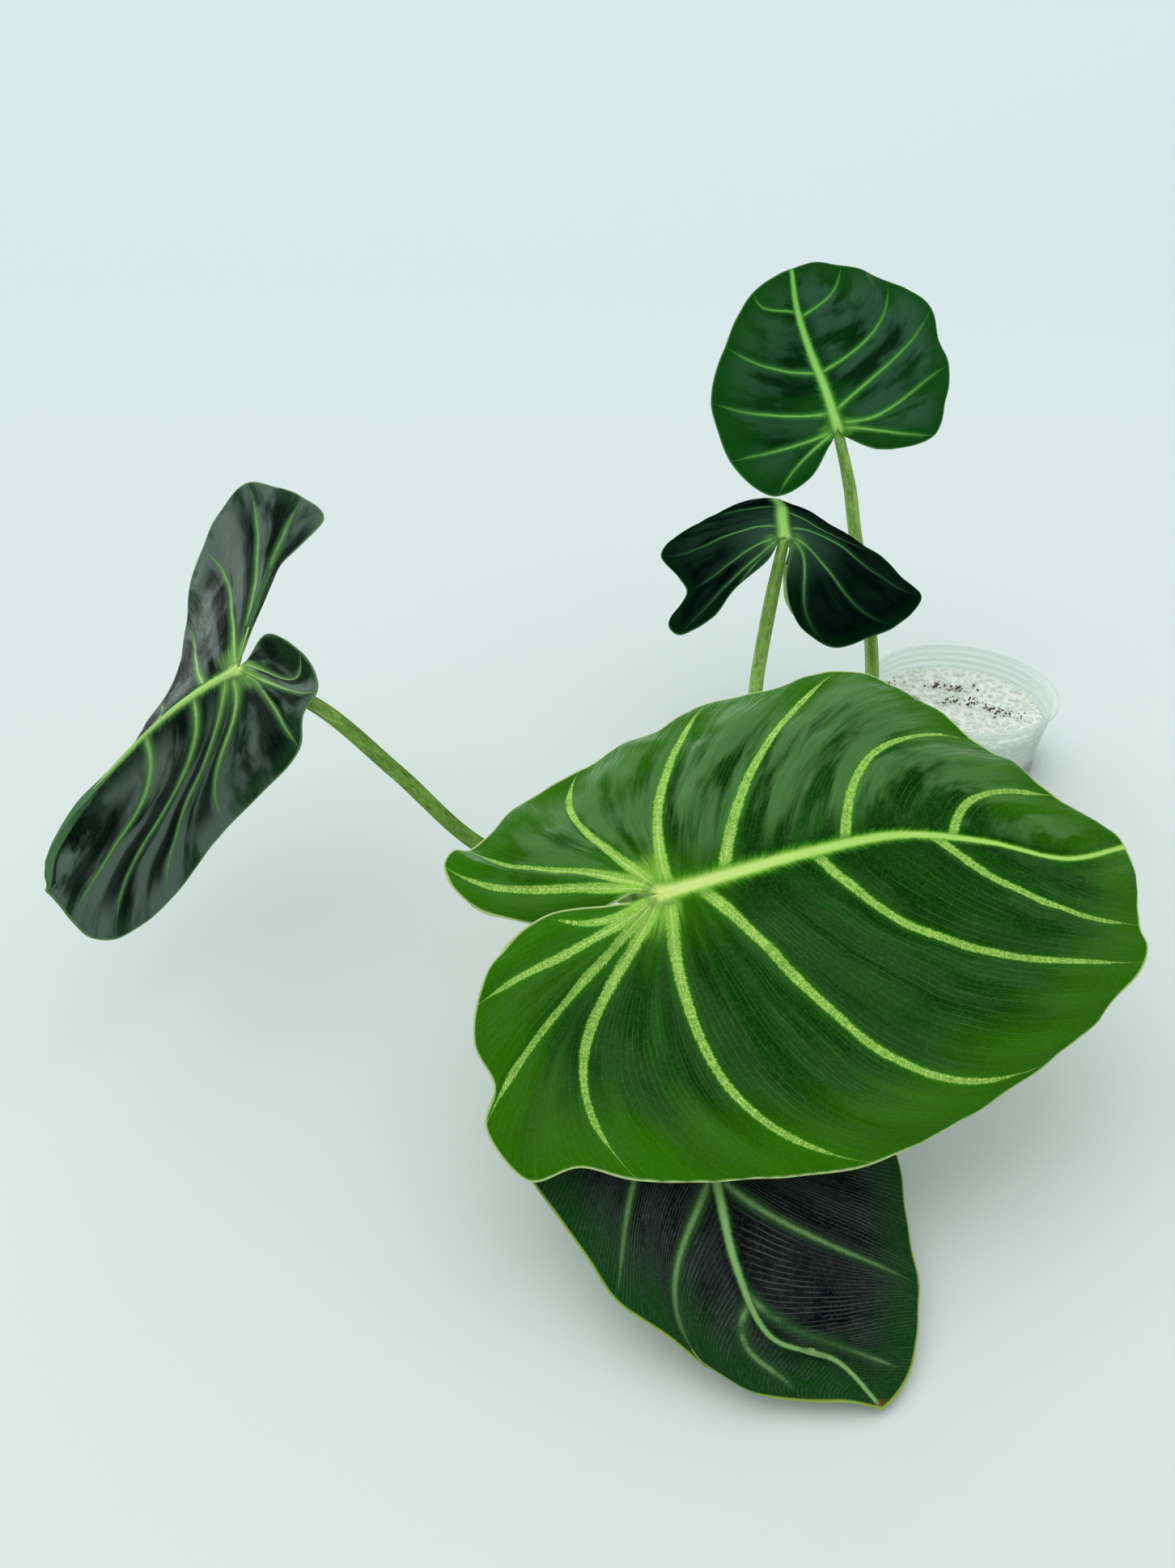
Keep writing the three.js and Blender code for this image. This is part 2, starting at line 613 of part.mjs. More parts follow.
for (const [name, leaf] of Object.entries(LEAVES)) {
  const face = bladeFace(leaf);
  place(`petiole_${name}`, petioleGeometry(leaf, face), COLOURS.petiole, { roughness: 0.45 });
  const blade = place(`leaf_${name}`, thickened(face), COLOURS.leaf[name], { roughness: 0.4 });
  leafMatrix(leaf).decompose(blade.position, blade.quaternion, blade.scale);
}

export default group;
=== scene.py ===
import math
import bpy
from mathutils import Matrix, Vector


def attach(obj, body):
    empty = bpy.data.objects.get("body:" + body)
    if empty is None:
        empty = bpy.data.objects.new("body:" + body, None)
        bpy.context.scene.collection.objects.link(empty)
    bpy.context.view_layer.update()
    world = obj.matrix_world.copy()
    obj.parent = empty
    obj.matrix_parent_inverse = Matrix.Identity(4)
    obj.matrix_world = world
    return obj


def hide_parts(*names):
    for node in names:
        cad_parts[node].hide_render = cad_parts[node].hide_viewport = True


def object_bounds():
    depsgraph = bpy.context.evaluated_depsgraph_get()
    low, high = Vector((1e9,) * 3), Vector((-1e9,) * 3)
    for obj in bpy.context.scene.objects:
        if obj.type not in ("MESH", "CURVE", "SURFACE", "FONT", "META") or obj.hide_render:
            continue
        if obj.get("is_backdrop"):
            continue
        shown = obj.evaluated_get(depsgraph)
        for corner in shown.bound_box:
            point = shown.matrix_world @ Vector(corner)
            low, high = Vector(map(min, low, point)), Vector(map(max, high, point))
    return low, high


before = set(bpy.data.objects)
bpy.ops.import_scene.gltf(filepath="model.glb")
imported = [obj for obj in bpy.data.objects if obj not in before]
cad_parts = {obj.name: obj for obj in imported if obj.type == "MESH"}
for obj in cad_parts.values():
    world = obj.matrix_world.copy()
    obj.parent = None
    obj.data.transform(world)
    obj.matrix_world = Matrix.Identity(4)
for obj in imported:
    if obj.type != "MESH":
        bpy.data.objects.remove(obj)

# The looks of a potted Philodendron luxurians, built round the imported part: fine blades with painted
# and sunken veins, mottled petioles, a scarred stem, a clear ringed tub and loose perlite.
# The tables are in millimetres and in the part's frame, and mesh code turns them into metres.
from types import SimpleNamespace

import bpy
import numpy as np

CAD_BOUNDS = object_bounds()
MM = 0.001

# Saucer and tub, as in the part
GAP = 0.3
SAUCER_RADIUS = 60
SAUCER_FOOT_RADIUS = 52
SAUCER_HEIGHT = 6
SAUCER_WALL = 1.2
SAUCER_LIP = 1
TUB_BASE_RADIUS = 49
TUB_RIM_RADIUS = 58.5
TUB_TOP = 47
TUB_WALL = 1.2
TUB_LIP = 2.2
TUB_LIP_HEIGHT = 2.4
TUB_RINGS = 7
TUB_RING_RELIEF = 0.7
TUB_PLAIN_BELOW = 5
TUB_PLAIN_ABOVE = 4
TUB_BOTTOM = SAUCER_WALL + GAP
MIX_TOP = 33

# Stem, as in the part: points along its middle, each with the radius there
STEM = [
    [-21, -16, 14, 4.2], [-30, -23, 28, 4.6], [-34, -26, 42, 5.0], [-40, -31, 52, 5.0],
    [-49, -39, 53.5, 5.2], [-57, -50, 45, 5.8], [-62, -62, 28, 6.6], [-70, -77, 13, 7.4],
    [-87, -101, 9.0, 8.0], [-112, -128, 9.4, 8.6], [-140, -153, 9.6, 8.8], [-166, -171, 10.0, 9.2],
    [-188, -185, 12, 8.6], [-203, -193, 21, 5.6], [-212, -197, 34, 3.2], [-217, -199, 48, 1.0],
]
SCAR_EVERY = 14
SCAR_RELIEF = 0.07

# Roots: place along the stem (0 to 1), turn away from it in degrees, length
ROOTS = [
    [0.4, 60, 26], [0.46, -70, 20], [0.53, 75, 30], [0.58, -55, 24], [0.66, 62, 22], [0.71, -80, 32],
    [0.79, 70, 20],
]
ROOT_RADIUS = 1.5

# Blades and petioles, as in the part
BLADE_THICKNESS = 1.0
MIDRIB_DEPTH = 2.2
MIDRIB_TAPER = 0.75
VEIN_DEPTH = 0.8
QUILT_FULL_SPAN = 60
PETIOLE_RADIUS = 4
PETIOLE_FLARE = 2.2
PETIOLE_TAPER = 0.8

# Each leaf as in the part: a frame of its own, a midrib, and two margins from the notch round towards the
# midrib's tip, as points along the midrib, across it and up. Three more numbers mark the end of a side
# vein: how far along the midrib it starts, and its bow at one and at two thirds.
LEAVES = {
    "left": dict(
        at=[-400, -164, 148], heading=-122, rise=-27, roll=-38, camber=0.08, quilt=2.6,
        left_lines=[1, 16, 1], right_lines=[3, 16, 1], stem_at=0.76,
        midrib=[[0, 0, 0], [18, -7, 3], [41, -13, 5], [75, -16, 9], [100, -15, 12], [118, -11, 17],
                [130, -3, 23]],
        left=[[-7, 1, -2], [-28, 0, -12], [-28, 17, -8, 0, -4, -13], [-18, 31, 5], [-8, 37, 13, 0, -2, -3],
              [4, 38, 12], [16, 45, 3, 0, 3, 1], [32, 43, -15], [58, 37, -31, 0.03, 1, -6], [80, 35, -40],
              [103, 34, -40, 0.05, 1, -3], [118, 31, -34], [129, 26, -25, 0.2, 7, -1], [135, 18, -13],
              [134, 10, -1, 0.38, 10, 4], [132, 3, 12]],
        right=[[-9, -2, -1], [-30, -8, -7], [-60, -14, -9, 0, 3, 4], [-91, -11, -2],
               [-98, -27, -11, 0, 2, 2], [-98, -41, -18], [-94, -55, -26, 0, -5, -6], [-78, -60, -39],
               [-60, -58, -51, 0, -4, -7], [-43, -53, -61], [-25, -43, -66, 0.15, 1, -1], [-6, -33, -66],
               [17, -28, -62, 0.34, -1, -1], [38, -25, -50], [64, -14, -35, 0.6, -1, -1], [101, -6, -9]],
        petiole=[[-203, -184, 24], [-242, -196, 48], [-285, -199, 74], [-325, -183, 106], [-364, -166, 130]],
    ),
    "centre": dict(
        at=[-122, -6, 150], heading=97, rise=5, roll=0, camber=0.1, quilt=2.4, left_lines=[3, 12, 1],
        right_lines=[1, 12, 1], stem_at=0.6,
        midrib=[[0, 0, 0], [18, -3, 1], [38, -7, 1], [56, -7, -3], [72, -5, -14]],
        left=[[-3, 4, -2], [-14, 12, -7], [-30, 35, -17, 0, 0, 0], [-42, 49, -27], [-45, 68, -35, 0, 0, 1],
              [-37, 73, -34], [-12, 58, -28, 0, -2, 1], [2, 60, -26], [21, 68, -21, 0.12, -3, 6],
              [45, 51, -19], [63, 30, -18, 0.45, 3, 4], [71, 13, -15]],
        right=[[-7, -2, -2], [-25, 5, -12], [-44, 4, -26, 0, 1, -3], [-55, -4, -34],
               [-60, -18, -40, 0, 2, -9], [-55, -39, -38], [-45, -59, -37, 0, -3, -15],
               [-25, -79, -31, 0.1, 7, -6], [-8, -73, -27], [8, -62, -20, 0.4, -6, -8], [32, -45, -16],
               [55, -26, -10, 0.7, -3, -4]],
        petiole=[[-137, -134, 30], [-143, -96, 48], [-139, -56, 75], [-131, -28, 110]],
    ),
    "back": dict(
        at=[-85, 59, 192], heading=105, rise=50, roll=0, camber=0.05, quilt=2.2, left_lines=[1, 12, 1],
        right_lines=[1, 12, 1], stem_at=0.425,
        midrib=[[0, 0, 0], [24, 3, 0], [52, 7, -3], [82, 8, -7], [109, 4, -12]],
        left=[[-8, 5, 0], [-29, 23, -2], [-37, 44, -5, 0, -2, -3], [-32, 56, -5], [-13, 69, -7, 0, 3, 2],
              [8, 74, -6], [25, 74, -8, 0.1, 5, 5], [46, 67, -7], [60, 58, -9, 0.35, 5, 6], [74, 50, -9],
              [95, 32, -11, 0.7, 4, 8], [105, 14, -11]],
        right=[[-5, -2, 0], [-15, -25, -2], [-8, -66, -6, 0, 0, -1], [12, -78, -6],
               [38, -88, -10, 0.04, -8, -4], [54, -86, -11], [79, -87, -15, 0.1, -3, -5], [92, -72, -13],
               [99, -61, -15, 0.35, -9, -11], [106, -44, -13], [110, -30, -14, 0.68, -5, -6],
               [112, -13, -12]],
        petiole=[[-71, -74, 40], [-66, -30, 72], [-64, -8, 84], [-65, 25, 106], [-69, 46, 129],
                 [-74, 56, 156]],
    ),
    "front": dict(
        at=[-207, -287, 114], heading=9, rise=3, roll=24, camber=0.06, quilt=3, left_lines=[3, 19, 1],
        right_lines=[3, 20, 1], stem_at=0.82,
        midrib=[[0, 0, 0], [30, 5, -1], [64, 10, -2], [105, 14, -6], [143, 8, -12], [176, -2, -18],
                [209, 3, -26]],
        left=[[-11, 2, -1], [-39, -5, -6], [-60, 1, -7], [-74, 9, -7], [-84, 31, -10, 0, 3, 8],
              [-79, 37, -9], [-73, 38, -12, 0, -1, 4], [-51, 56, -13], [-20, 74, -18, 0, 9, 15],
              [10, 86, -17], [43, 100, -20, 0.02, 11, 10], [77, 103, -17], [108, 111, -20, 0.15, 10, 9],
              [138, 88, -16], [157, 62, -17, 0.4, 19, 20], [170, 44, -15], [183, 28, -18, 0.6, 12, 9],
              [195, 16, -20], [205, 9, -23]],
        right=[[-13, -2, 0], [-33, -1, 0], [-48, -3, 0, 0, 6, 7], [-65, -13, -1], [-78, -33, -6, 0, 3, 1],
               [-80, -48, -9], [-75, -63, -13], [-80, -76, -17, 0, -2, -4], [-67, -97, -21], [-48, -96, -18],
               [-27, -103, -22, 0, -15, -24], [20, -110, -21], [62, -110, -26, 0.02, -24, -28],
               [99, -100, -25], [146, -81, -29, 0.08, -21, -33], [177, -63, -29],
               [198, -48, -31, 0.34, -21, -17], [202, -41, -30], [202, -32, -29, 0.56, -9, -10],
               [207, -12, -26]],
        petiole=[[-198, -204, 38], [-202, -240, 67], [-206, -268, 92]],
    ),
    "low": dict(
        at=[-197, -322, 61], heading=-57, rise=-21, roll=0, camber=0.06, quilt=2.4, left_lines=[1, 8, 3],
        right_lines=[1, 9, 2], stem_at=0.71,
        midrib=[[0, 0, 0], [25, -9, -1], [50, -18, -3], [76, -27, -6], [101, -29, -8], [120, -12, -8],
                [140, -7, -8]],
        left=[[-8, 3, 0], [-30, 22, -6], [-38, 48, -12, 0, -2, -3], [-24, 68, -16],
              [6, 77, -19, 0, -10, -12], [38, 72, -17], [73, 61, -14], [102, 43, -13],
              [115, 34, -10, 0.3, -5, -3], [129, 19, -9], [136, 9, -8, 0.56, -4, -2], [139, 0, -8]],
        right=[[-8, -3, 0], [-30, -22, -6], [-38, -48, -12, 0, 2, 3], [-20, -70, -16],
               [8, -75, -17, 0, -8, -8], [30, -73, -16], [47, -71, -16], [64, -69, -17, 0.12, -11, -8],
               [83, -60, -14], [98, -53, -15, 0.28, -8, -13], [113, -44, -12], [123, -31, -11, 0.58, -9, -4],
               [132, -17, -8]],
        petiole=[[-178, -202, 20], [-187, -244, 34], [-194, -290, 48]],
    ),
}

# How each blade looks. Widths and lengths are in millimetres, tones are sRGB codes, and a share says from
# 0 to 1 how much of a part shows. A pair is for the hub and the tip, or for the right and the left half.
# In these tables the sheen tone and its shares set painted sheen on the blades, also round the hub, and one
# share sets painted shade in the hollows beside the veins.
COMMON = dict(
    vein=(3.1, 1.1), rib=(4.6, 1.3), rib_reach=0.72, groove=0.5, bands=0.05, edge_reach=55, edge_share=0.7,
    sheen_bands=0.045, sheen_share=(0.15, 0.75), sheen="5c8e4e", sheen_reach=20, hub_haze=0.0, pitch=4.2,
    line_width=0.07, line_share=0.6, stroke=0.6, feather=1.15, soft=0.25, heart=0.7, crack_share=0.75,
    halo_share=0.2, hollow_share=0.0, tip_share=0.0, hub_tone="e8ff92", centre_share=0.2, vein_share=1.0,
    fade_from=0.5, faded_share=1.0, hub_reach=28, ray_share=0.75, margin_share=0.9, rough=0.32, swell=0.8,
    gloss=0.17, tint="94c878", relief=0.002, under="4c7442", under_vein="8fb070", tip_tone="6b4a22",
)
SOFT = dict(
    COMMON,
    swell=0.45, rib_reach=1.0, soft=0.95, heart=0.0, feather=0.8, crack_share=0.15, halo_share=0.3,
    fade_from=0.45, faded_share=0.5, hub_tone="aede76", centre_share=0.0, hub_reach=16, ray_share=0.5,
)
LOOKS = {
    "front": dict(
        COMMON,
        dark="0a3c06", light="124f0a", edge="3c8400", line="5c9a48", vein_low="46981a", vein_high="c4f478",
        rib_glow="a8e858", rib_core="e6ff9a", rib_far="c0f47e", margin="c6e496",
    ),
    "low": dict(
        SOFT,
        vein=(2.9, 1.1), rib=(3.3, 0.9), rib_reach=0.7, tip_share=0.9, edge_reach=38, edge_share=0.85,
        dark="0b0d12", light="16201c", edge="164a17", sheen="363e3e", sheen_share=(0.35, 0.25),
        line="636c66", pitch=2.3, line_width=0.2, vein_low="2f562e", vein_high="7aa466", rib_glow="7fae68",
        rib_core="a6da88", rib_far="86b86e", margin="9ec04e", gloss=0.05,
    ),
    "left": dict(
        SOFT,
        vein=(2.2, 1.1), rib=(3.0, 1.2), hollow_share=0.85, edge_reach=20, edge_share=0.5, dark="06140f",
        light="213a2e", edge="27552c", sheen="6a7c72", sheen_share=(0.75, 0.85), sheen_reach=0.6,
        under="263c2f", under_vein="4f7a50", line="5a6f60", line_share=0.25, vein_low="4d8046",
        vein_high="8cc273", rib_glow="98d46c", rib_core="cdf48e", rib_far="a4dc74", hub_tone="d8fa90",
        margin="6f9a62", gloss=0.08,
    ),
    "centre": dict(
        SOFT,
        vein=(2.2, 0.9), rib=(5.0, 3.6), vein_share=0.85, fade_from=0.25, faded_share=0.12, hub_haze=0.8,
        edge_share=0.5, edge_reach=14, dark="010a0a", light="04170f", edge="0c3014", sheen="3a5c48",
        sheen_share=(0.08, 0.2), under="3c5a3a", line="1c3a2a", line_share=0.2, vein_low="1f4a2c",
        vein_high="5a9456", rib_glow="76b45a", rib_core="a2dc70", rib_far="86bc60", margin="3f6b40",
        gloss=0.0,
    ),
    "back": dict(
        SOFT,
        vein=(2.2, 1.1), rib=(4.8, 1.4), dark="042a0d", light="0c3a14", edge="185c18", sheen="3e6c50",
        sheen_share=(0.65, 0.4), line="2f6a36", line_share=0.2, vein_low="2f7a2e", vein_high="78c054",
        rib_glow="78c450", rib_core="aef07c", rib_far="84d460", margin="4f8a48", gloss=0.12,
    ),
}

# Fineness of the meshes, in millimetres or steps, and the angle from which an edge is sharp
RIM_STEP = 1.6
CROSS_STEPS = 70
ROUND_SIDES = 192
STEM_STEPS = 330
STEM_SIDES = 40
PETIOLE_STEPS = 110
PETIOLE_SIDES = 32
SHARP_ANGLE = 48


# Curves and meshes


def unit(vectors):
    """The vectors at length 1."""
    return vectors / np.maximum(np.linalg.norm(vectors, axis=-1, keepdims=True), 1e-9)


def smooth(values, low, high):
    """A smooth rise from 0 at low to 1 at high."""
    t = np.clip((np.asarray(values, float) - low) / (high - low), 0, 1)
    return t * t * (3 - 2 * t)


class Curve:
    """The part's smooth curve: a centripetal Catmull-Rom spline through its points."""

    def __init__(self, points):
        p = np.array([point[:3] for point in points], float)
        p = np.vstack([2 * p[0] - p[1], p, 2 * p[-1] - p[-2]])
        gaps = np.sqrt(np.linalg.norm(np.diff(p, axis=0), axis=1))
        before, here, after = (gaps[k : len(gaps) - 2 + k, None] for k in range(3))
        a, b, c, d = (p[k : len(p) - 3 + k] for k in range(4))
        out = ((b - a) / before - (c - a) / (before + here) + (c - b) / here) * here
        into = ((c - b) / here - (d - b) / (here + after) + (d - c) / after) * here
        self.terms = np.stack([b, out, -3 * b + 3 * c - 2 * out - into, 2 * b - 2 * c + out + into])
        self.spans = len(b)
        self.table = np.linspace(0, 1, 60 * self.spans + 1)
        self.reach = lengths(self.at(self.table))
        self.length = self.reach[-1]

    def at(self, t):
        """The points at the fractions t, with the same step between any two of the curve's points."""
        place = np.clip(np.asarray(t, float), 0, 1) * self.spans
        k = np.minimum(place.astype(int), self.spans - 1)
        w = (place - k)[..., None]
        c0, c1, c2, c3 = self.terms[:, k]
        return c0 + w * (c1 + w * (c2 + w * c3))

    def to_length(self, t):
        """The length up to the fractions t."""
        return np.interp(t, self.table, self.reach)

    def from_length(self, u):
        """The fractions t at the fractions u of the whole length."""
        return np.interp(np.asarray(u) * self.length, self.reach, self.table)


def linked(name, data):
    """A new object in the scene."""
    made = bpy.data.objects.new(name, data)
    bpy.context.collection.objects.link(made)
    return made


def lengths(path):
    """The length along a path up to each of its points."""
    return np.concatenate([[0], np.cumsum(np.linalg.norm(np.diff(path, axis=0), axis=1))])


def build(name, vertices, faces, material, slot, **values):
    """A mesh object on the root body from vertices in millimetres, with values kept on its vertices."""
    mesh = bpy.data.meshes.new(name)
    mesh.from_pydata((np.asarray(vertices) * MM).tolist(), [], [list(map(int, face)) for face in faces])
    for key, numbers in values.items():
        layer = mesh.attributes.new(key, "FLOAT", "POINT")
        layer.data.foreach_set("value", np.asarray(numbers, np.float32).ravel())
    mesh.materials.append(material)
    mesh.shade_smooth()
    mesh.set_sharp_from_angle(angle=math.radians(SHARP_ANGLE))
    piece = linked(name, mesh)
    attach(piece, "root")
    return piece


def joined(parts):
    """One body from several (vertices, faces, values) parts."""
    vertices, faces, values, first = [], [], {}, 0
    for points, corners, numbers in parts:
        vertices.append(points)
        faces.extend([index + first for index in corner] for corner in corners)
        for key, column in numbers.items():
            values.setdefault(key, []).append(np.broadcast_to(column, len(points)))
        first += len(points)
    return np.vstack(vertices), faces, {key: np.concatenate(columns) for key, columns in values.items()}


def strip(k, sides, rings):
    """The faces between a round body's points k and the next ones, from its first ring to its last."""
    after = (k + 1) % sides
    return [(i * sides + k, i * sides + after, (i + 1) * sides + after, (i + 1) * sides + k)
            for i in range(rings - 1)]


def tube(path, radii, sides):
    """A round tube with closed ends along a path, and for each vertex its length and its turn."""
    forward = unit(np.gradient(path, axis=0))
    side = unit(np.cross(forward[0], [0.3, 0.2, 0.9]))
    turn = 2 * np.pi * np.arange(sides) / sides
    rows = []
    for k, way in enumerate(forward):
        side = unit(side - way * (side @ way))
        ring = np.outer(np.cos(turn), side) + np.outer(np.sin(turn), np.cross(way, side))
        rows.append(path[k] + ring * np.reshape(radii[k], (-1, 1)))
    vertices = np.vstack(rows + [path[:1], path[-1:]])
    count = len(path)
    start, end = count * sides, count * sides + 1
    faces = []
    for k in range(sides):
        after = (k + 1) % sides
        faces += strip(k, sides, count)
        faces += [(start, after, k), (end, (count - 1) * sides + k, (count - 1) * sides + after)]
    along = lengths(path)
    values = {
        "along": np.concatenate([np.repeat(along, sides), [along[0], along[-1]]]),
        "turn_x": np.concatenate([np.tile(np.cos(turn), count), [0, 0]]),
        "turn_y": np.concatenate([np.tile(np.sin(turn), count), [0, 0]]),
    }
    return vertices, faces, values


def turned(profile, sides):
    """A closed round body about Z from a profile of (radius, height), which starts and ends on the axis."""
    profile = np.array(profile, float)
    turn = 2 * np.pi * np.arange(sides) / sides
    inner = profile[1:-1]
    around = np.stack([np.cos(turn), np.sin(turn)], 1)
    rings = [np.column_stack([radius * around, np.full(sides, z)]) for radius, z in inner]
    vertices = np.vstack(rings + [[[0, 0, profile[0, 1]]], [[0, 0, profile[-1, 1]]]])
    first, last = len(inner) * sides, len(inner) * sides + 1
    faces = []
    for k in range(sides):
        after = (k + 1) % sides
        faces.append((first, after, k))
        faces += strip(k, sides, len(inner))
        top = (len(inner) - 1) * sides
        faces.append((last, top + k, top + after))
    return vertices, faces


# Shader nodes


def tone(code):
    """Linear colour from a six-figure sRGB code."""
    parts = [int(code[k : k + 2], 16) / 255 for k in (0, 2, 4)]
    return tuple(c / 12.92 if c <= 0.04045 else ((c + 0.055) / 1.055) ** 2.4 for c in parts) + (1.0,)


class Shader:
    """A node material, with one short call for each kind of node that the materials use."""

    def __init__(self, name, tree=None):
        if tree is None:
            self.material = bpy.data.materials.new(name)
            self.material.use_nodes = True
            tree = self.material.node_tree
        self.tree = tree
        self.surface = tree.nodes.get("Principled BSDF")

    def node(self, kind, inputs=(), **settings):
        """A node's outputs, after its inputs are set or linked by name or in order."""
        made = self.tree.nodes.new(kind)
        for key, setting in settings.items():
            setattr(made, key, setting)
        for key, value in inputs.items() if isinstance(inputs, dict) else enumerate(inputs):
            self.put(made.inputs[key], value)
        return made.outputs

    def put(self, socket, value):
        """Links a socket to another, or gives it a value."""
        if isinstance(value, bpy.types.NodeSocket):
            self.tree.links.new(value, socket)
        elif value is not None:
            socket.default_value = value

    def set(self, **values):
        """Sets or links inputs of the shader; an underscore in a key stands for a space."""
        for key, value in values.items():
            self.put(self.surface.inputs[key.replace("_", " ")], value)

    def value(self, name):
        """A number kept on the mesh's vertices."""
        return self.node("ShaderNodeAttribute", attribute_name=name)["Fac"]

    def math(self, operation, *values):
        return self.node("ShaderNodeMath", values, operation=operation)[0]

    def plus(self, a, b):
        return self.math("ADD", a, b)

    def minus(self, a, b):
        return self.math("SUBTRACT", a, b)

    def times(self, first, *factors):
        for factor in factors:
            first = self.math("MULTIPLY", first, factor)
        return first

    def off_middle(self, value):
        """How far a number of 0 to 1 is from the middle."""
        return self.math("ABSOLUTE", self.minus(value, 0.5))

    def ramp(self, value, low, high, start=0.0, end=1.0):
        """A smooth change from start to end as value goes from low to high."""
        inputs = (value, low, high, start, end)
        return self.node("ShaderNodeMapRange", inputs, interpolation_type="SMOOTHSTEP")[0]

    def within(self, value, width, low, high):
        """A smooth change from 0 to 1 between two shares of a width."""
        return self.ramp(value, self.times(width, low), self.times(width, high))

    def mix(self, share, a, b):
        """A colour between a and b."""
        return self.node("ShaderNodeMix", {0: share, 6: a, 7: b}, data_type="RGBA")[2]

    def place(self, x, y, z):
        """A texture coordinate from three numbers."""
        return self.node("ShaderNodeCombineXYZ", (x, y, z))[0]

    def here(self):
        """The place on the object, in metres."""
        return self.node("ShaderNodeTexCoord")["Object"]

    def axis(self, name, at=None):
        """One axis of a place, or of the place on the object."""
        return self.node("ShaderNodeSeparateXYZ", (self.here() if at is None else at,))[name]

    def round_place(self, stretch, fineness):
        """A texture coordinate on a tube, from its length and its turn."""
        parts = ("along", stretch), ("turn_x", fineness), ("turn_y", fineness)
        return self.place(*(self.times(self.value(name), scale) for name, scale in parts))

    def noise(self, at, scale, detail=2.0, rough=0.5):
        inputs = {"Vector": at, "Scale": scale, "Detail": detail, "Roughness": rough}
        return self.node("ShaderNodeTexNoise", inputs)["Fac"]

    def bump(self, height, depth, strength=1.0, normal=None):
        """A normal from a height of 0 to 1 that stands for so many metres."""
        inputs = {"Strength": strength, "Distance": depth, "Height": height, "Normal": normal}
        return self.node("ShaderNodeBump", inputs)["Normal"]


# Blades

# Steps along a vein, along a midrib and along a margin
FINE = np.linspace(0, 1, 200)
MIDRIB_STEPS = 240
RIM_STEPS = 700
# How far from the midrib's start the lines may lie folded together
HUB_RADIUS = 22
# These make a bow and a quilt's height come out as the leaf's row says, as in the part
BOW_GAIN = 13.5
QUILT_GAIN = 5.3
# A distance to a vein that no point reaches
FAR = 99.0
# What is added on the left half to a vein's mark and to the place on the fan
LEFT_MARK = 20
LEFT_FAN = 1000


def leaf_frame(leaf):
    """The leaf's axes as columns, and its origin."""
    heading, rise, roll = (math.radians(leaf[key]) for key in ("heading", "rise", "roll"))
    along = np.array([
        math.cos(rise) * math.cos(heading),
        math.cos(rise) * math.sin(heading),
        math.sin(rise),
    ])
    level = np.array([-math.sin(heading), math.cos(heading), 0])
    over = np.cross(along, level)
    across = level * math.cos(roll) + over * math.sin(roll)
    return np.column_stack([along, across, np.cross(along, across)]), np.array(leaf["at"], float)


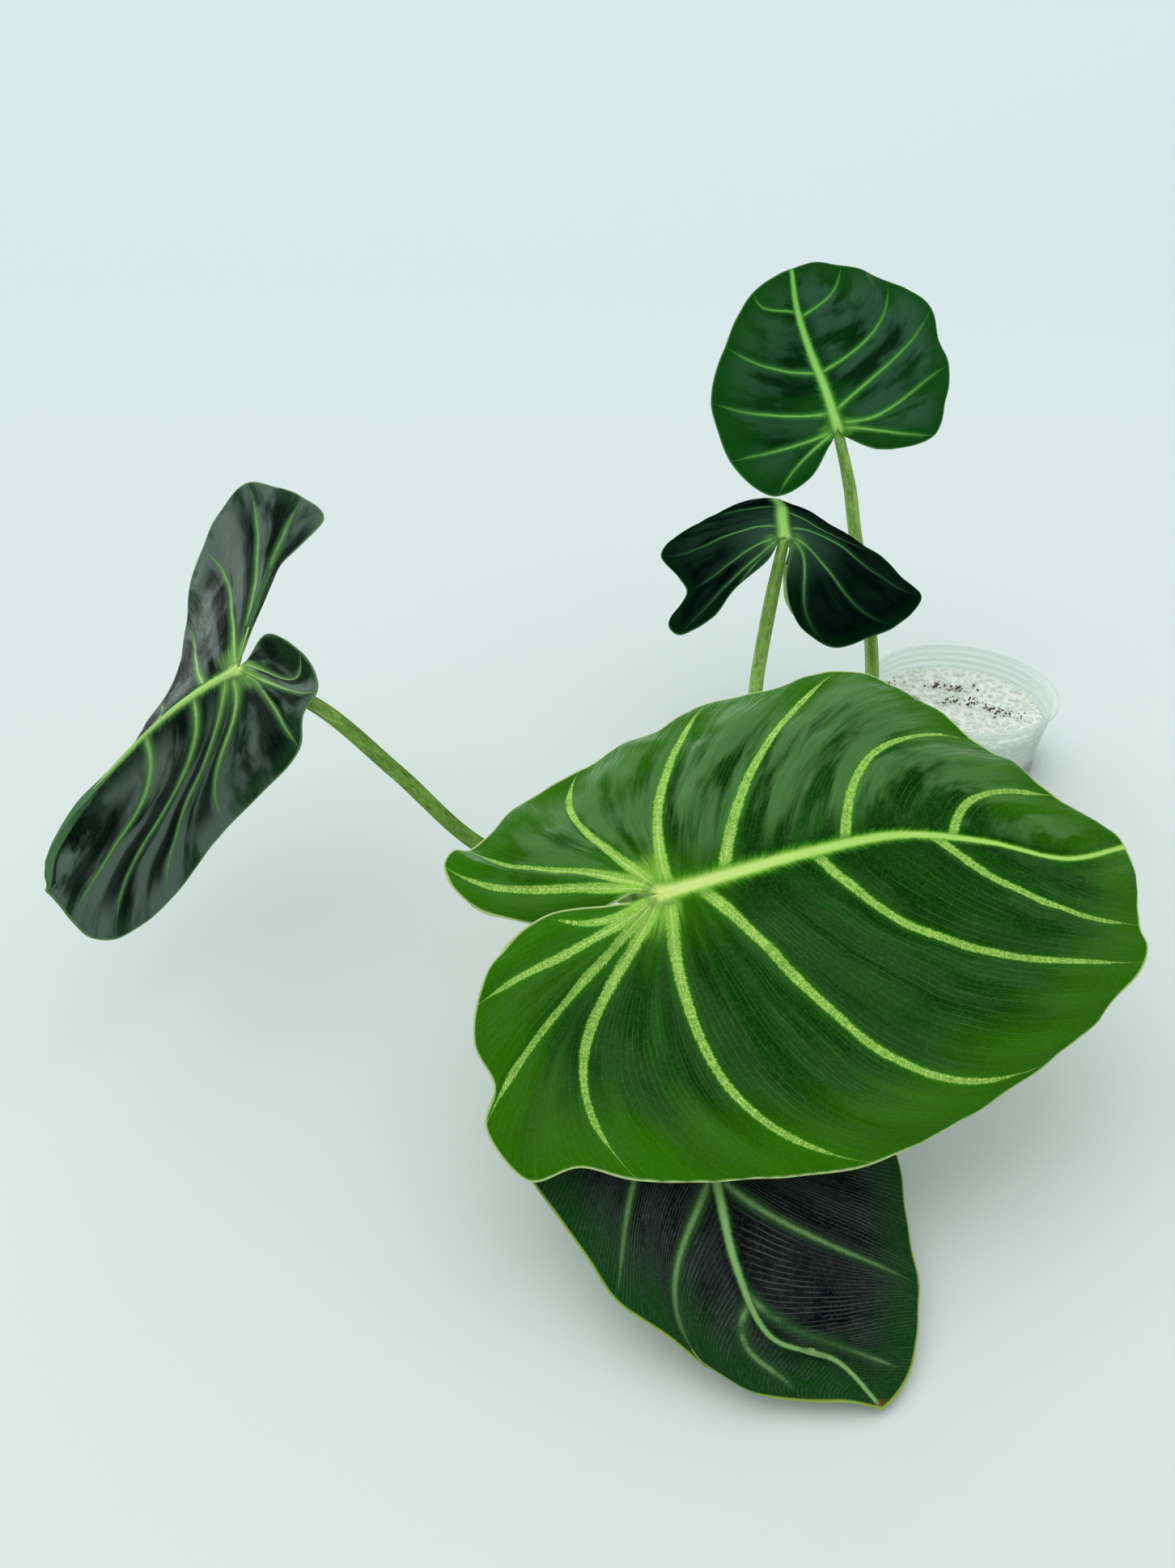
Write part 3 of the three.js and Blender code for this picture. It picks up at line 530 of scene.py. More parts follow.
class Half:
    """One half of a blade. A line s runs from the midrib (r = 0) to the margin point s (r = 1)."""

    def __init__(self, leaf, midrib, side):
        rows = leaf[side] + leaf["midrib"][-1:]
        self.leaf = leaf
        self.midrib = midrib
        self.side = side
        self.last = len(rows) - 1
        self.rim = Curve(rows)
        veins = [(s, row[3], row[4:6]) for s, row in enumerate(rows) if len(row) > 3]
        self.veins = [self.vein(*vein) for vein in veins]
        self.vein_roots = [vein[1] for vein in veins]
        notch, end, self.bunch = leaf[f"{side}_lines"]
        meshed = [(vein, path) for vein, path in zip(veins, self.veins) if notch < vein[0] <= end]
        self.s = np.array([notch] + [vein[0] for vein, _ in meshed] + [self.last], float)
        self.root = np.array([0] + [vein[1] for vein, _ in meshed] + [1], float)
        tip = np.broadcast_to(midrib.at(1), (len(FINE), 3))
        self.lines = np.stack([self.notch_edge(notch), *(path for _, path in meshed), tip])
        self.basal = np.flatnonzero(self.root == 0)[-1]

    def vein(self, s, root, bows):
        """A side vein's path, at the steps FINE from the midrib to the margin."""
        start, end = self.midrib.at(root), self.rim.at(s / self.last)
        chord = end - start
        bend = (start + end) / 2 + [0, 0, self.leaf["camber"] * np.linalg.norm(chord)]
        r = FINE[:, None]
        bow = BOW_GAIN * r * (1 - r) * (bows[0] * (2 / 3 - r) + bows[1] * (r - 1 / 3))
        return (1 - r) ** 2 * start + 2 * r * (1 - r) * bend + r**2 * end + bow * unit(
            np.array([-chord[1], chord[0], 0])
        )

    def notch_edge(self, notch):
        """The margin from the midrib's start along the notch, at the steps FINE."""
        path = np.vstack([self.midrib.at(0), self.rim.at(np.linspace(0, notch / self.last, 60))])
        reach = lengths(path)
        return np.column_stack([np.interp(FINE * reach[-1], reach, path[:, k]) for k in range(3)])

    def root_at(self, s):
        """How far along the midrib a line starts. Past the last vein lines may bunch up on the margin."""
        s = np.asarray(s, float)
        late = np.clip((s - self.s[-2]) / (self.last - self.s[-2]), 0, 1) ** (1 / self.bunch)
        early = np.interp(s, self.s, self.root)
        return np.where(s > self.s[-2], self.root[-2] + (1 - self.root[-2]) * late, early)

    def line_at(self, root):
        """The line that leaves the midrib at a fraction of it."""
        root = np.asarray(root, float)
        late = np.clip((root - self.root[-2]) / (1 - self.root[-2]), 0, 1) ** self.bunch
        early = np.interp(root, self.root[self.basal :], self.s[self.basal :])
        return np.where(root > self.root[-2], self.s[-2] + (self.last - self.s[-2]) * late, early)

    def points(self, s, r):
        """The upper face's points for lines s and steps r, as rows of points."""
        s, r = np.asarray(s, float), np.asarray(r, float)
        k, share = self.cell(s)
        root = self.root_at(s)
        share = np.where(s > self.s[-2], (root - self.root[-2]) / (1 - self.root[-2]), share)[:, None, None]
        paths = np.stack([[np.interp(r, FINE, line[:, axis]) for axis in range(3)] for line in self.lines])
        paths = paths.transpose(0, 2, 1)
        ends = self.lines[:, [0, -1]]
        start = self.midrib.at(root)[:, None]
        end = self.rim.at(s / self.last)[:, None]
        off = (1 - share) * ends[k] + share * ends[k + 1]
        r3 = r[None, :, None]
        points = (1 - share) * paths[k] + share * paths[k + 1]
        late = (s > self.s[-2])[:, None, None]
        inner, outer = np.where(late, 1 - r3, (1 - r3) ** 2), np.where(late, r3, r3**2)
        points = points + inner * (start - off[:, :1]) + outer * (end - off[:, 1:])
        span = np.linalg.norm(end - start, axis=-1)
        pillow = np.sin(np.pi * share[:, :, 0]) ** 2 * np.minimum(1, span / QUILT_FULL_SPAN)
        points[..., 2] += self.leaf["quilt"] * pillow * QUILT_GAIN * r**2 * (1 - r) ** 0.8
        return points

    def cell(self, s):
        """The veins before the lines s, and how far each line is from that vein to the next."""
        k = np.clip(np.searchsorted(self.s, s, side="right") - 1, 0, len(self.s) - 2)
        return k, (s - self.s[k]) / (self.s[k + 1] - self.s[k])

    def rim_length(self, s):
        return self.rim.to_length(np.asarray(s) / self.last)


def steps_between(low, high, reach):
    """Even steps from low to high, which is left out, each of at most RIM_STEP of the reach."""
    count = max(1, math.ceil(reach / RIM_STEP))
    return low + (high - low) * np.arange(count) / count


def nearest(points, path):
    """For each point the distance to a path and the step of the path that is nearest."""
    flat = points.reshape(-1, 3)
    best = np.full(len(flat), np.inf)
    step = np.zeros(len(flat))
    for k, place in enumerate(path):
        gap = np.einsum("ij,ij->i", flat - place, flat - place)
        closer = gap < best
        best[closer] = gap[closer]
        step[closer] = k
    return np.sqrt(best).reshape(points.shape[:-1]), step.reshape(points.shape[:-1])


def half_grid(half, lines, r, look):
    """The points of one half, and what the material needs to know at each of them."""
    points = half.points(lines, r)
    gap = np.full(points.shape[:-1], FAR)
    along, width, mark = np.zeros_like(gap), np.zeros_like(gap), np.zeros_like(gap)
    base, tip = look.vein
    band = (base + (tip - base) * FINE**0.8) * (1 - 0.85 * smooth(FINE, 0.8, 0.97))
    for k, path in enumerate(half.veins):
        distance, step = nearest(points, path)
        step = step.astype(int)
        closer = distance < gap
        reach = lengths(path)
        gap = np.where(closer, distance, gap)
        along = np.where(closer, reach[step], along)
        width = np.where(closer, band[step] * (1 - 0.4 * half.vein_roots[k]), width)
        mark = np.where(closer, k + LEFT_MARK * (half.side == "left"), mark)
    spread = half.rim_length(lines) + 0.6 * half.midrib.to_length(half.root_at(lines))
    spread = np.broadcast_to(spread[:, None], gap.shape)
    values = {
        "vein_gap": gap,
        "vein_along": along,
        "vein_half": width,
        "vein_mark": mark,
        "fan": spread + LEFT_FAN * (half.side == "left"),
        "cross": np.broadcast_to(r, gap.shape),
        "cell": np.broadcast_to(half.cell(lines)[1][:, None], gap.shape),
    }
    return points, values


def blade(name, leaf, look):
    """A closed thin blade with grooves along its veins above and ribs below."""
    midrib = Curve(leaf["midrib"])
    halves = [Half(leaf, midrib, side) for side in ("left", "right")]
    roots = sorted({round(float(root), 4) for half in halves
                    for root in half.root_at(np.arange(half.last + 1))})
    stations = []
    for low, high in zip(roots, roots[1:]):
        reach = max(float(np.ptp(half.rim_length(half.line_at(np.array([low, high]))))) for half in halves)
        stations.append(steps_between(low, high, reach))
    stations = np.concatenate(stations + [[1.0]])
    even = np.linspace(0, 1, CROSS_STEPS + 1)
    r = even - 0.05 * np.sin(2 * np.pi * even)

    # Each half is a grid of lines and steps, and the two share the midrib's points
    points = [midrib.at(stations)]
    values = {}
    faces = []
    count = len(stations)
    for half in halves:
        lobe = [steps_between(s, s + 1, float(np.ptp(half.rim_length([s, s + 1]))))
                for s in range(int(half.s[0]), int(half.s[half.basal]))]
        lobe = np.concatenate(lobe) if lobe else np.zeros(0)
        lines = np.concatenate([lobe, half.line_at(stations)])
        lines[-1] = half.last
        grid, known = half_grid(half, lines, r, look)
        index = np.empty(grid.shape[:2], int)
        index[:, 0] = np.concatenate([np.zeros(len(lobe), int), np.arange(len(stations))])
        index[:, 1:] = count + np.arange(index[:, 1:].size).reshape(index[:, 1:].shape)
        index[-1, 1:] = len(stations) - 1
        count += index[:, 1:].size
        points.append(grid[:, 1:].reshape(-1, 3))
        for key, numbers in known.items():
            if half.side == "left":
                values[key] = [numbers[len(lobe) :, 0]]
            values[key].append(numbers[:, 1:].ravel())
        quads = np.stack([index[:-1, :-1], index[1:, :-1], index[1:, 1:], index[:-1, 1:]], -1).reshape(-1, 4)
        faces.append(quads if half.side == "left" else quads[:, ::-1])
    points = np.vstack(points)
    values = {key: np.concatenate(columns) for key, columns in values.items()}
    quads = np.vstack(faces)
    triangles = np.vstack([quads[:, [0, 1, 2]], quads[:, [0, 2, 3]]])
    ordered = np.sort(triangles, axis=1)
    triangles = triangles[(np.diff(ordered, axis=1) > 0).all(axis=1)]

    length = midrib.to_length(1)
    rib, step = nearest(points, midrib.at(np.linspace(0, 1, MIDRIB_STEPS)))
    share = step / (MIDRIB_STEPS - 1)
    base, tip = look.rib
    values["rib_gap"] = rib
    values["rib_along"] = share * length
    values["rib_half"] = base + (tip - base) * np.minimum(1, share / look.rib_reach)
    values["hub"] = np.linalg.norm(points - midrib.at(0), axis=1)
    values["tip"] = np.linalg.norm(points - midrib.at(1), axis=1)
    rims = np.vstack([half.rim.at(np.linspace(0, 1, RIM_STEPS)) for half in halves])
    rims = np.vstack([rims, midrib.at(0)[None]])
    values["rim_gap"] = nearest(points, rims)[0]

    # Below, ribs swell under the veins, and the blade thins towards its margin
    upper = relief(points, triangles, values, look)
    normals = calm(vertex_normals(upper, triangles), values["hub"])
    edge = smooth(values["rim_gap"], 0, 4)
    rib_swell = np.exp(-((values["rib_gap"] / 2.6) ** 2)) * (1 - MIDRIB_TAPER * share)
    vein_swell = np.exp(-((values["vein_gap"] / 1.5) ** 2)) * (values["vein_half"] / look.vein[0])
    swell = MIDRIB_DEPTH * rib_swell + VEIN_DEPTH * vein_swell * smooth(values["hub"], 8, 22)
    depth = BLADE_THICKNESS * (0.6 + 0.4 * edge) + swell * edge
    lower = upper - normals * depth[:, None]

    # The open edges of the upper face get a wall down to the lower one
    size = len(points)
    sides = np.vstack([triangles[:, [0, 1]], triangles[:, [1, 2]], triangles[:, [2, 0]]])
    free = sides[~np.isin(sides[:, 0] * size + sides[:, 1], sides[:, 1] * size + sides[:, 0])]
    edge, corner = np.unique(free, return_inverse=True)
    corner = corner.reshape(free.shape) + 2 * size
    wall = np.column_stack([corner[:, 0], corner[:, 0] + len(edge), corner[:, 1] + len(edge), corner[:, 1]])
    axes, origin = leaf_frame(leaf)
    body = np.vstack([upper, lower, upper[edge], lower[edge]]) @ axes.T + origin
    pick = np.concatenate([np.arange(size), np.arange(size), edge, edge])
    values = {key: numbers[pick] for key, numbers in values.items()}
    values["under"] = np.concatenate([np.zeros(size), np.ones(size), np.zeros(2 * len(edge))])
    closed = triangles.tolist() + (triangles[:, ::-1] + size).tolist() + wall.tolist()
    piece = build(f"blade_{name}", body, closed, blade_material(name, look), f"leaf_{name}", **values)
    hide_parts(f"leaf_{name}")


def calm(normals, hub):
    """Normals that never point down near the hub, and turn to straight up where the lines meet in it."""
    share = smooth(hub, 1, 5)[:, None]
    down = (hub < HUB_RADIUS) & (normals[:, 2] < 0)
    upward = np.where(down[:, None], -normals, normals)
    return unit(upward * share + np.array([0, 0, 1]) * (1 - share))


def vertex_normals(points, triangles):
    a, b, c = (points[triangles[:, k]] for k in range(3))
    cross = np.cross(b - a, c - a)
    normals = np.zeros_like(points)
    for k in range(3):
        np.add.at(normals, triangles[:, k], cross)
    return unit(normals)


def waves(points, seed, size):
    """A soft random height between about -1 and 1, with waves of the given size in millimetres."""
    random = np.random.default_rng(seed)
    height = np.zeros(len(points))
    for _ in range(14):
        way = unit(random.normal(size=3)) * 2 * np.pi / (size * random.uniform(0.7, 1.5))
        height += np.sin(points @ way + random.uniform(0, 2 * np.pi))
    return height / math.sqrt(14)


def relief(points, triangles, values, look):
    """The upper face with its sunken veins and small waves."""
    normals = calm(vertex_normals(points, triangles), values["hub"])
    vein = np.exp(-((values["vein_gap"] / 1.9) ** 2)) * np.minimum(1, values["vein_half"] / look.vein[0])
    rib = np.exp(-((values["rib_gap"] / 3.2) ** 2))
    edge = smooth(values["rim_gap"], 0, 6)
    height = -look.groove * np.maximum(vein * edge, rib)
    height += look.swell * waves(points, 5, 26) * smooth(values["rib_gap"], 2, 14)
    height += 0.25 * look.swell * waves(points, 6, 9) * smooth(values["rib_gap"], 2, 8)
    return points + normals * (height * smooth(values["hub"], 2, 10))[:, None]


def blade_material(name, look):
    """The blade's skin: veins with ragged or soft edges, fine lines between them and a pale margin line that
    is partly a painted highlight.
    """
    m = Shader(f"blade_{name}")
    gap, along, half, mark = (m.value(f"vein_{key}") for key in ("gap", "along", "half", "mark"))
    rib, rib_half, rib_along = (m.value(f"rib_{key}") for key in ("gap", "half", "along"))
    names = ("rim_gap", "cross", "fan", "hub", "under", "tip", "cell")
    rim, cross, fan, hub, under, tip, cell = (m.value(key) for key in names)
    here = m.here()
    mix, ramp, times, minus, within, noise, place = (
        m.mix, m.ramp, m.times, m.minus, m.within, m.noise, m.place,
    )

    def streaks(across, outwards, seed, detail=3, rough=0.5):
        """Noise drawn out along the side veins."""
        return noise(place(times(fan, across), times(cross, outwards), seed), 1, detail, rough)

    # The field between the veins, in bands that run along with them and greener towards the margin
    bands = streaks(look.bands, 1.3, 0, 2, 0.45)
    outward = ramp(rim, look.edge_reach, 2)
    field = mix(ramp(bands, 0.35, 0.68), look.dark, look.light)
    edge = ramp(m.plus(times(bands, 0.5), times(outward, 0.8)), 0.45, 1.1)
    field = mix(times(edge, look.edge_share), field, look.edge)
    # Painted sheen: pale streaks that stand for the backdrop's reflection on the blade, stronger on one half
    # and kept off the midrib and the margin
    side_sheen = ramp(fan, LEFT_FAN - 100, LEFT_FAN - 10, *look.sheen_share)
    sheen = times(ramp(streaks(look.sheen_bands, 1.9, 7, 3, 0.55), 0.39, 0.56), side_sheen)
    sheen = times(sheen, ramp(cross, 0.02, 0.2), ramp(rim, 0, look.sheen_reach))
    field = mix(sheen, field, look.sheen)
    # Painted sheen round the hub, in the sheen tone
    field = mix(ramp(hub, 42, 6, 0, look.hub_haze), field, look.sheen)
    # Painted shade: a darker band in the hollow on one side of each vein
    beside = m.plus(cell, times(minus(streaks(0.03, 2.2, 9), 0.5), 0.5))
    hollow_shade = times(ramp(beside, 0.02, 0.14), ramp(beside, 0.5, 0.34))
    hollow_shade = times(hollow_shade, times(ramp(cross, 0.1, 0.3), ramp(cross, 0.95, 0.8)))
    field = mix(times(hollow_shade, look.hollow_share), field, look.dark)

    # Fine lines that run along with the side veins, and a net of finer ones
    count = m.plus(times(fan, 1 / look.pitch), times(streaks(0.03, 1.6, 0, 2), 1.6))
    wave = m.off_middle(m.math("FRACT", count))
    broken = ramp(streaks(0.5, 7, 4, 2), 0.3, 0.55)
    line = times(ramp(wave, look.line_width, 0.0), broken, ramp(cross, 0.03, 0.2))
    uneven = ramp(streaks(0.06, 3, 12, 2), 0.35, 0.6, 0.35, 1)
    line = times(line, uneven, ramp(outward, 0.3, 1, 1, 0.55))
    net = ramp(m.off_middle(noise(here, 420, 2)), 0.05, 0.0, 0, 0.22)
    for lines in (line, net):
        field = mix(times(lines, look.line_share), field, look.line)

    # Side veins: a pale band whose edge runs out in strokes that slant away from the midrib
    slant = minus(along, times(gap, 0.9))
    strokes = place(times(slant, 1 / look.stroke), times(gap, 0.15), times(mark, 7.3))
    strokes = noise(strokes, 1, 3, 0.65)
    weave = noise(place(times(slant, 1.1), times(gap, 1.1), times(mark, 3.1)), 1, 3, 0.6)
    ragged = minus(gap, times(minus(strokes, 0.5), times(half, look.feather)))
    vein = within(ragged, half, 1 + look.soft, 1 - look.soft)
    vein_tone = mix(within(ragged, half, 1.05, look.heart), look.vein_low, look.vein_high)
    crack = ramp(m.off_middle(weave), 0.09, 0.02)
    vein_tone = mix(times(crack, look.crack_share), vein_tone, look.vein_low)
    near_hub = ramp(hub, look.hub_reach * 1.3, 6)
    vein_tone = mix(times(near_hub, 0.6), vein_tone, look.rib_glow)
    middle = ramp(gap, 0.55, 0.15)
    vein_tone = mix(times(middle, ramp(hub, 35, 75, 0, look.centre_share)), vein_tone, look.light)
    vein_tone = mix(times(middle, ramp(hub, 60, 20, 0, 0.6)), vein_tone, look.rib_core)
    halo = within(gap, half, 2.6, 0.6)
    colour = mix(times(halo, look.halo_share), field, look.vein_low)

    # Rays that spread from the hub between the veins
    rays = ramp(streaks(0.8, 4, 2, 3, 0.65), 0.15, 0.8)
    rays = times(rays, ramp(rib_along, 12, 0, 0.18, 1), ramp(cross, 0.45, 0.15))
    ray = ramp(minus(hub, times(rays, look.hub_reach)), 6, -4)
    ray_tone = mix(ramp(hub, 30, 8), look.vein_low, look.rib_glow)
    colour = mix(times(ray, look.ray_share), colour, ray_tone)
    share = ramp(cross, look.fade_from, 0.96, look.vein_share, look.faded_share)
    colour = mix(times(vein, share), colour, vein_tone)

    # Midrib: a pale core in a glow that runs out in strokes
    rib_slant = minus(rib_along, times(rib, 0.6))
    ribs = place(times(rib_slant, 0.8), times(rib, 0.16), times(fan, 0.0005))
    rib_reach = times(minus(noise(ribs, 1, 4, 0.7), 0.5), times(rib_half, 2.6))
    rib_beyond = minus(minus(rib, rib_half), rib_reach)
    glow = within(rib_beyond, rib_half, 0.9, -0.6)
    colour = mix(glow, colour, mix(within(rib, rib_half, 1.3, 0.4), look.vein_low, look.rib_glow))
    core = within(rib, rib_half, 0.85, 0.2)
    colour = mix(core, colour, mix(ramp(rib_along, 0, 110), look.rib_core, look.rib_far))
    bright_hub = ramp(hub, m.plus(times(strokes, 0.22 * look.hub_reach), 3), 1)
    colour = mix(bright_hub, colour, look.hub_tone)
    colour = mix(times(ramp(tip, 4.5, 1.5), look.tip_share), colour, look.tip_tone)

    # Margin line, pale and partly a painted highlight, and the paler underside
    line = times(ramp(rim, 1.2, 0.4), ramp(hub, 8, 16), look.margin_share)
    colour = mix(line, colour, look.margin)
    raised = m.math("MAXIMUM", ramp(gap, 2.4, 1.0), core)
    below = mix(raised, look.under, look.under_vein)
    below = mix(ramp(hub, 20, 12), below, look.vein_high)
    colour = mix(under, colour, below)

    rough = ramp(noise(here, 120, 3), 0.3, 0.7, look.rough - 0.05, look.rough + 0.07)
    rough = m.plus(rough, times(under, 0.22))
    off_rib = ramp(rib, 1.2, 4)
    normal = m.bump(times(streaks(0.13, 4.5, 3, 3, 0.55), off_rib), look.relief, 0.6)
    normal = m.bump(times(streaks(0.7, 9, 3, 3, 0.6), off_rib), 0.0004, 0.5, normal)
    normal = m.bump(noise(here, 900, 2), 0.0001, 0.4, normal)
    normal = m.bump(times(vein, weave), 0.0003, 0.4, normal)
    m.set(Base_Color=colour, Roughness=rough, Normal=normal)
    m.set(Specular_IOR_Level=look.gloss, Specular_Tint=look.tint)
    return m.material


# Petioles, stem and roots

STEM_CURVE = Curve(STEM)


def stem_radius(u):
    """The stem's radius at the fractions u of its length, with its leaf scars."""
    t = STEM_CURVE.from_length(u)
    radius = np.interp(t * STEM_CURVE.spans, np.arange(len(STEM)), [row[3] for row in STEM])
    wave = np.cos(2 * np.pi * u * STEM_CURVE.length / SCAR_EVERY)
    return radius * (1 + SCAR_RELIEF * np.maximum(0, wave) ** 4)


def petiole(name, leaf, material):
    """A round petiole, thick where it leaves the stem and flattened where it meets the blade."""
    axes, origin = leaf_frame(leaf)
    end = axes @ [0, 0, -1] + origin
    curve = Curve([STEM_CURVE.at(STEM_CURVE.from_length(leaf["stem_at"])), *leaf["petiole"], end])
    u = np.linspace(0, 1, PETIOLE_STEPS)
    turn = np.linspace(0, 2 * np.pi, PETIOLE_SIDES, endpoint=False)
    radius = PETIOLE_RADIUS + PETIOLE_FLARE * np.exp(-9 * u) - PETIOLE_TAPER * smooth(u, 0.8, 1)
    ridged = radius[:, None] * (1 + 0.025 * np.cos(5 * turn + 2 * u[:, None]))
    vertices, faces, values = tube(curve.at(curve.from_length(u)), ridged, PETIOLE_SIDES)
    inside = (vertices - origin) @ axes
    inside[:, 2] = np.minimum(inside[:, 2], -1.8)
    vertices = inside @ axes.T + origin
    vertices[:, 2] = np.maximum(vertices[:, 2], 0.3)
    piece = build(f"petiole_fine_{name}", vertices, faces, material, "petiole", **values)
    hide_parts(f"petiole_{name}")


def petiole_material():
    """Green with pale flecks and a few dark ones, drawn out along the petiole."""
    m = Shader("petiole_skin")
    broad = m.noise(m.round_place(0.07, 1.2), 1, 2)
    colour = m.mix(m.ramp(broad, 0.35, 0.65), tone("74ac36"), tone("9ccc58"))
    pale = m.noise(m.round_place(0.28, 4.2), 1, 3, 0.65)
    colour = m.mix(m.times(m.ramp(pale, 0.5, 0.6), 0.6), colour, tone("bcd894"))
    dark = m.noise(m.round_place(0.34, 3.4), 1.4, 3, 0.6)
    colour = m.mix(m.times(m.ramp(dark, 0.62, 0.72), 0.6), colour, tone("3a6626"))
    normal = m.bump(pale, 0.0003, 0.5)
    m.set(Base_Color=colour, Normal=normal, Roughness=0.42)
    return m.material


def stem_material():
    """Olive bark with corky rings and lighter roots."""
    m = Shader("stem_bark")
    here = m.here()
    colour = m.mix(m.ramp(m.noise(here, 90, 4), 0.35, 0.65), tone("5d6f2e"), tone("8b8a4a"))
    rings = m.noise(m.round_place(0.5, 0.7), 1, 4, 0.7)
    colour = m.mix(m.ramp(rings, 0.56, 0.7), colour, tone("6a5334"))
    colour = m.mix(m.value("root"), colour, tone("9a7d55"))
    colour = m.mix(m.value("young"), colour, tone("7fae4b"))
    normal = m.bump(m.noise(here, 420, 4, 0.65), 0.0007, 0.8)
    m.set(Base_Color=colour, Normal=normal, Roughness=0.62)
    return m.material


def root_part(place, turn, length):
    """A root that leaves low on the stem's side and bends down to the surface."""
    t = STEM_CURVE.from_length(place)
    start = STEM_CURVE.at(t)
    forward = unit((STEM_CURVE.at(t + 0.002) - STEM_CURVE.at(t - 0.002)) * [1, 1, 0])
    cos, sin = math.cos(math.radians(turn)), math.sin(math.radians(turn))
    away = np.array([forward[0] * cos - forward[1] * sin, forward[0] * sin + forward[1] * cos, 0])
    reach = float(stem_radius(place))
    low = ROOT_RADIUS * 1.3
    heights = [start[2] - reach * 0.25, start[2] - reach * 0.55, low + 0.8, low]
    distances = [reach * 0.3, reach + 1, reach + length * 0.35, reach + length]
    path = Curve([[*(start[:2] + away[:2] * d), z] for d, z in zip(distances, heights)])
    u = np.linspace(0, 1, 40)
    wander = np.array([away[1], -away[0], 0]) * (1.1 * np.sin(9 * u + place * 40) * u * (1 - u) * 4)[:, None]
    vertices, faces, values = tube(path.at(u) + wander, ROOT_RADIUS * (1 - 0.72 * u), 14)
    return vertices, faces, {**values, "root": 1.0, "young": 0.0}


def stem():
    u = np.linspace(0, 1, STEM_STEPS)
    turn = np.linspace(0, 2 * np.pi, STEM_SIDES, endpoint=False)
    path = STEM_CURVE.at(STEM_CURVE.from_length(u))
    knots = 1 + 0.035 * np.sin(3 * turn + 40 * u[:, None]) + 0.02 * np.sin(7 * turn - 90 * u[:, None])
    vertices, faces, values = tube(path, stem_radius(u)[:, None] * knots, STEM_SIDES)
    vertices[:, 2] = np.maximum(vertices[:, 2], 0.2)
    young = smooth(values["along"], 0.88 * STEM_CURVE.length, 0.97 * STEM_CURVE.length)
    parts = [(vertices, faces, {**values, "root": 0.0, "young": young})]
    parts += [root_part(*row) for row in ROOTS]
    vertices, faces, values = joined(parts)
    piece = build("stem_fine", vertices, faces, stem_material(), "stem", **values)
    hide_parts("stem")


# Tub, saucer and perlite


def tub_radius(z):
    up = (z - TUB_BOTTOM) / (TUB_TOP - TUB_BOTTOM)
    return TUB_BASE_RADIUS + up * (TUB_RIM_RADIUS - TUB_LIP - TUB_BASE_RADIUS)


# Metres from one mark of the tub's rings to the next
RING_PITCH = 0.0044


def clear_plastic(name, see, tint):
    """Thin clear plastic: nearly nothing face on, a milky gloss where it turns away."""
    m = Shader(name)
    z = m.axis("Z")
    facing = m.node("ShaderNodeLayerWeight", {"Blend": 0.35})["Facing"]
    haze = m.noise(m.here(), 60, 2)
    height = m.plus(m.times(z, 1 / RING_PITCH), m.times(haze, 0.25))
    wave = m.off_middle(m.math("FRACT", height))
    ring = m.times(m.ramp(wave, 0.26, 0.04), m.ramp(z, 0.008, 0.012))
    body = m.plus(m.ramp(facing, 0.25, 1.0, see, 0.5), m.times(haze, 0.06))
    body = m.plus(body, m.times(ring, 0.34))
    normal = m.bump(m.noise(m.here(), 220, 2), 0.0002, 0.3)
    colour = m.mix(ring, tone(tint), tone("e6f4ee"))
    m.set(Base_Color=colour, Roughness=0.12, IOR=1.5, Alpha=body, Normal=normal)
    return m.material


def tub():
    lip = TUB_TOP - TUB_LIP_HEIGHT
    ring_low, ring_high = TUB_BOTTOM + TUB_PLAIN_BELOW, lip - TUB_PLAIN_ABOVE
    heights = np.linspace(ring_low, ring_high, 14 * TUB_RINGS + 1)
    ripple = np.sin(np.pi * TUB_RINGS * (heights - ring_low) / (ring_high - ring_low)) ** 2
    outer = np.column_stack([tub_radius(heights) + TUB_RING_RELIEF * ripple, heights])
    inner = outer[::-1] - [TUB_WALL, 0]
    foot, rim, low, top = TUB_BASE_RADIUS, TUB_RIM_RADIUS, TUB_BOTTOM, TUB_TOP
    floor = low + TUB_WALL
    floor_edge, top_edge = tub_radius(floor) - TUB_WALL, tub_radius(top) - TUB_WALL
    profile = [
        [0, low + 0.6], [foot - 8, low + 0.6], [foot - 4, low], [foot - 1, low],
        [tub_radius(low + 1), low + 1], *outer, [tub_radius(lip), lip],
        [rim - 0.4, lip], [rim, lip + 0.4], [rim, top - 0.7], [rim - 0.7, top],
        [top_edge + 0.4, top], [top_edge, top - 0.4], *inner,
        [floor_edge, floor + 0.6], [floor_edge - 0.6, floor], [0, floor + 0.3],
    ]
    vertices, faces = turned(profile, ROUND_SIDES)
    piece = build("tub_fine", vertices, faces, clear_plastic("tub_plastic", 0.16, "effdf4"), "clear_plastic")
    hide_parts("tub")


def saucer():
    rim, foot, top = SAUCER_RADIUS, SAUCER_FOOT_RADIUS, SAUCER_HEIGHT
    inside = rim - SAUCER_LIP
    ledge = top - SAUCER_LIP
    floor_edge = foot - SAUCER_WALL / 2
    profile = [
        [0, 0.4], [foot - 3, 0.4], [foot - 2.6, 0], [foot, 0],
        [inside - 0.4, ledge - 0.3], [inside, ledge], [rim - 0.2, ledge], [rim, ledge + 0.2],
        [rim, top - 0.3], [rim - 0.3, top],
        [inside - SAUCER_WALL + 0.3, top], [inside - SAUCER_WALL, top - 0.3],
        [floor_edge, SAUCER_WALL + 0.2], [floor_edge - 0.5, SAUCER_WALL], [0, SAUCER_WALL],
    ]
    vertices, faces = turned(profile, ROUND_SIDES)
    plastic = clear_plastic("saucer_plastic", 0.08, "e6efee")
    piece = build("saucer_fine", vertices, faces, plastic, "clear_plastic")
    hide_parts("saucer")


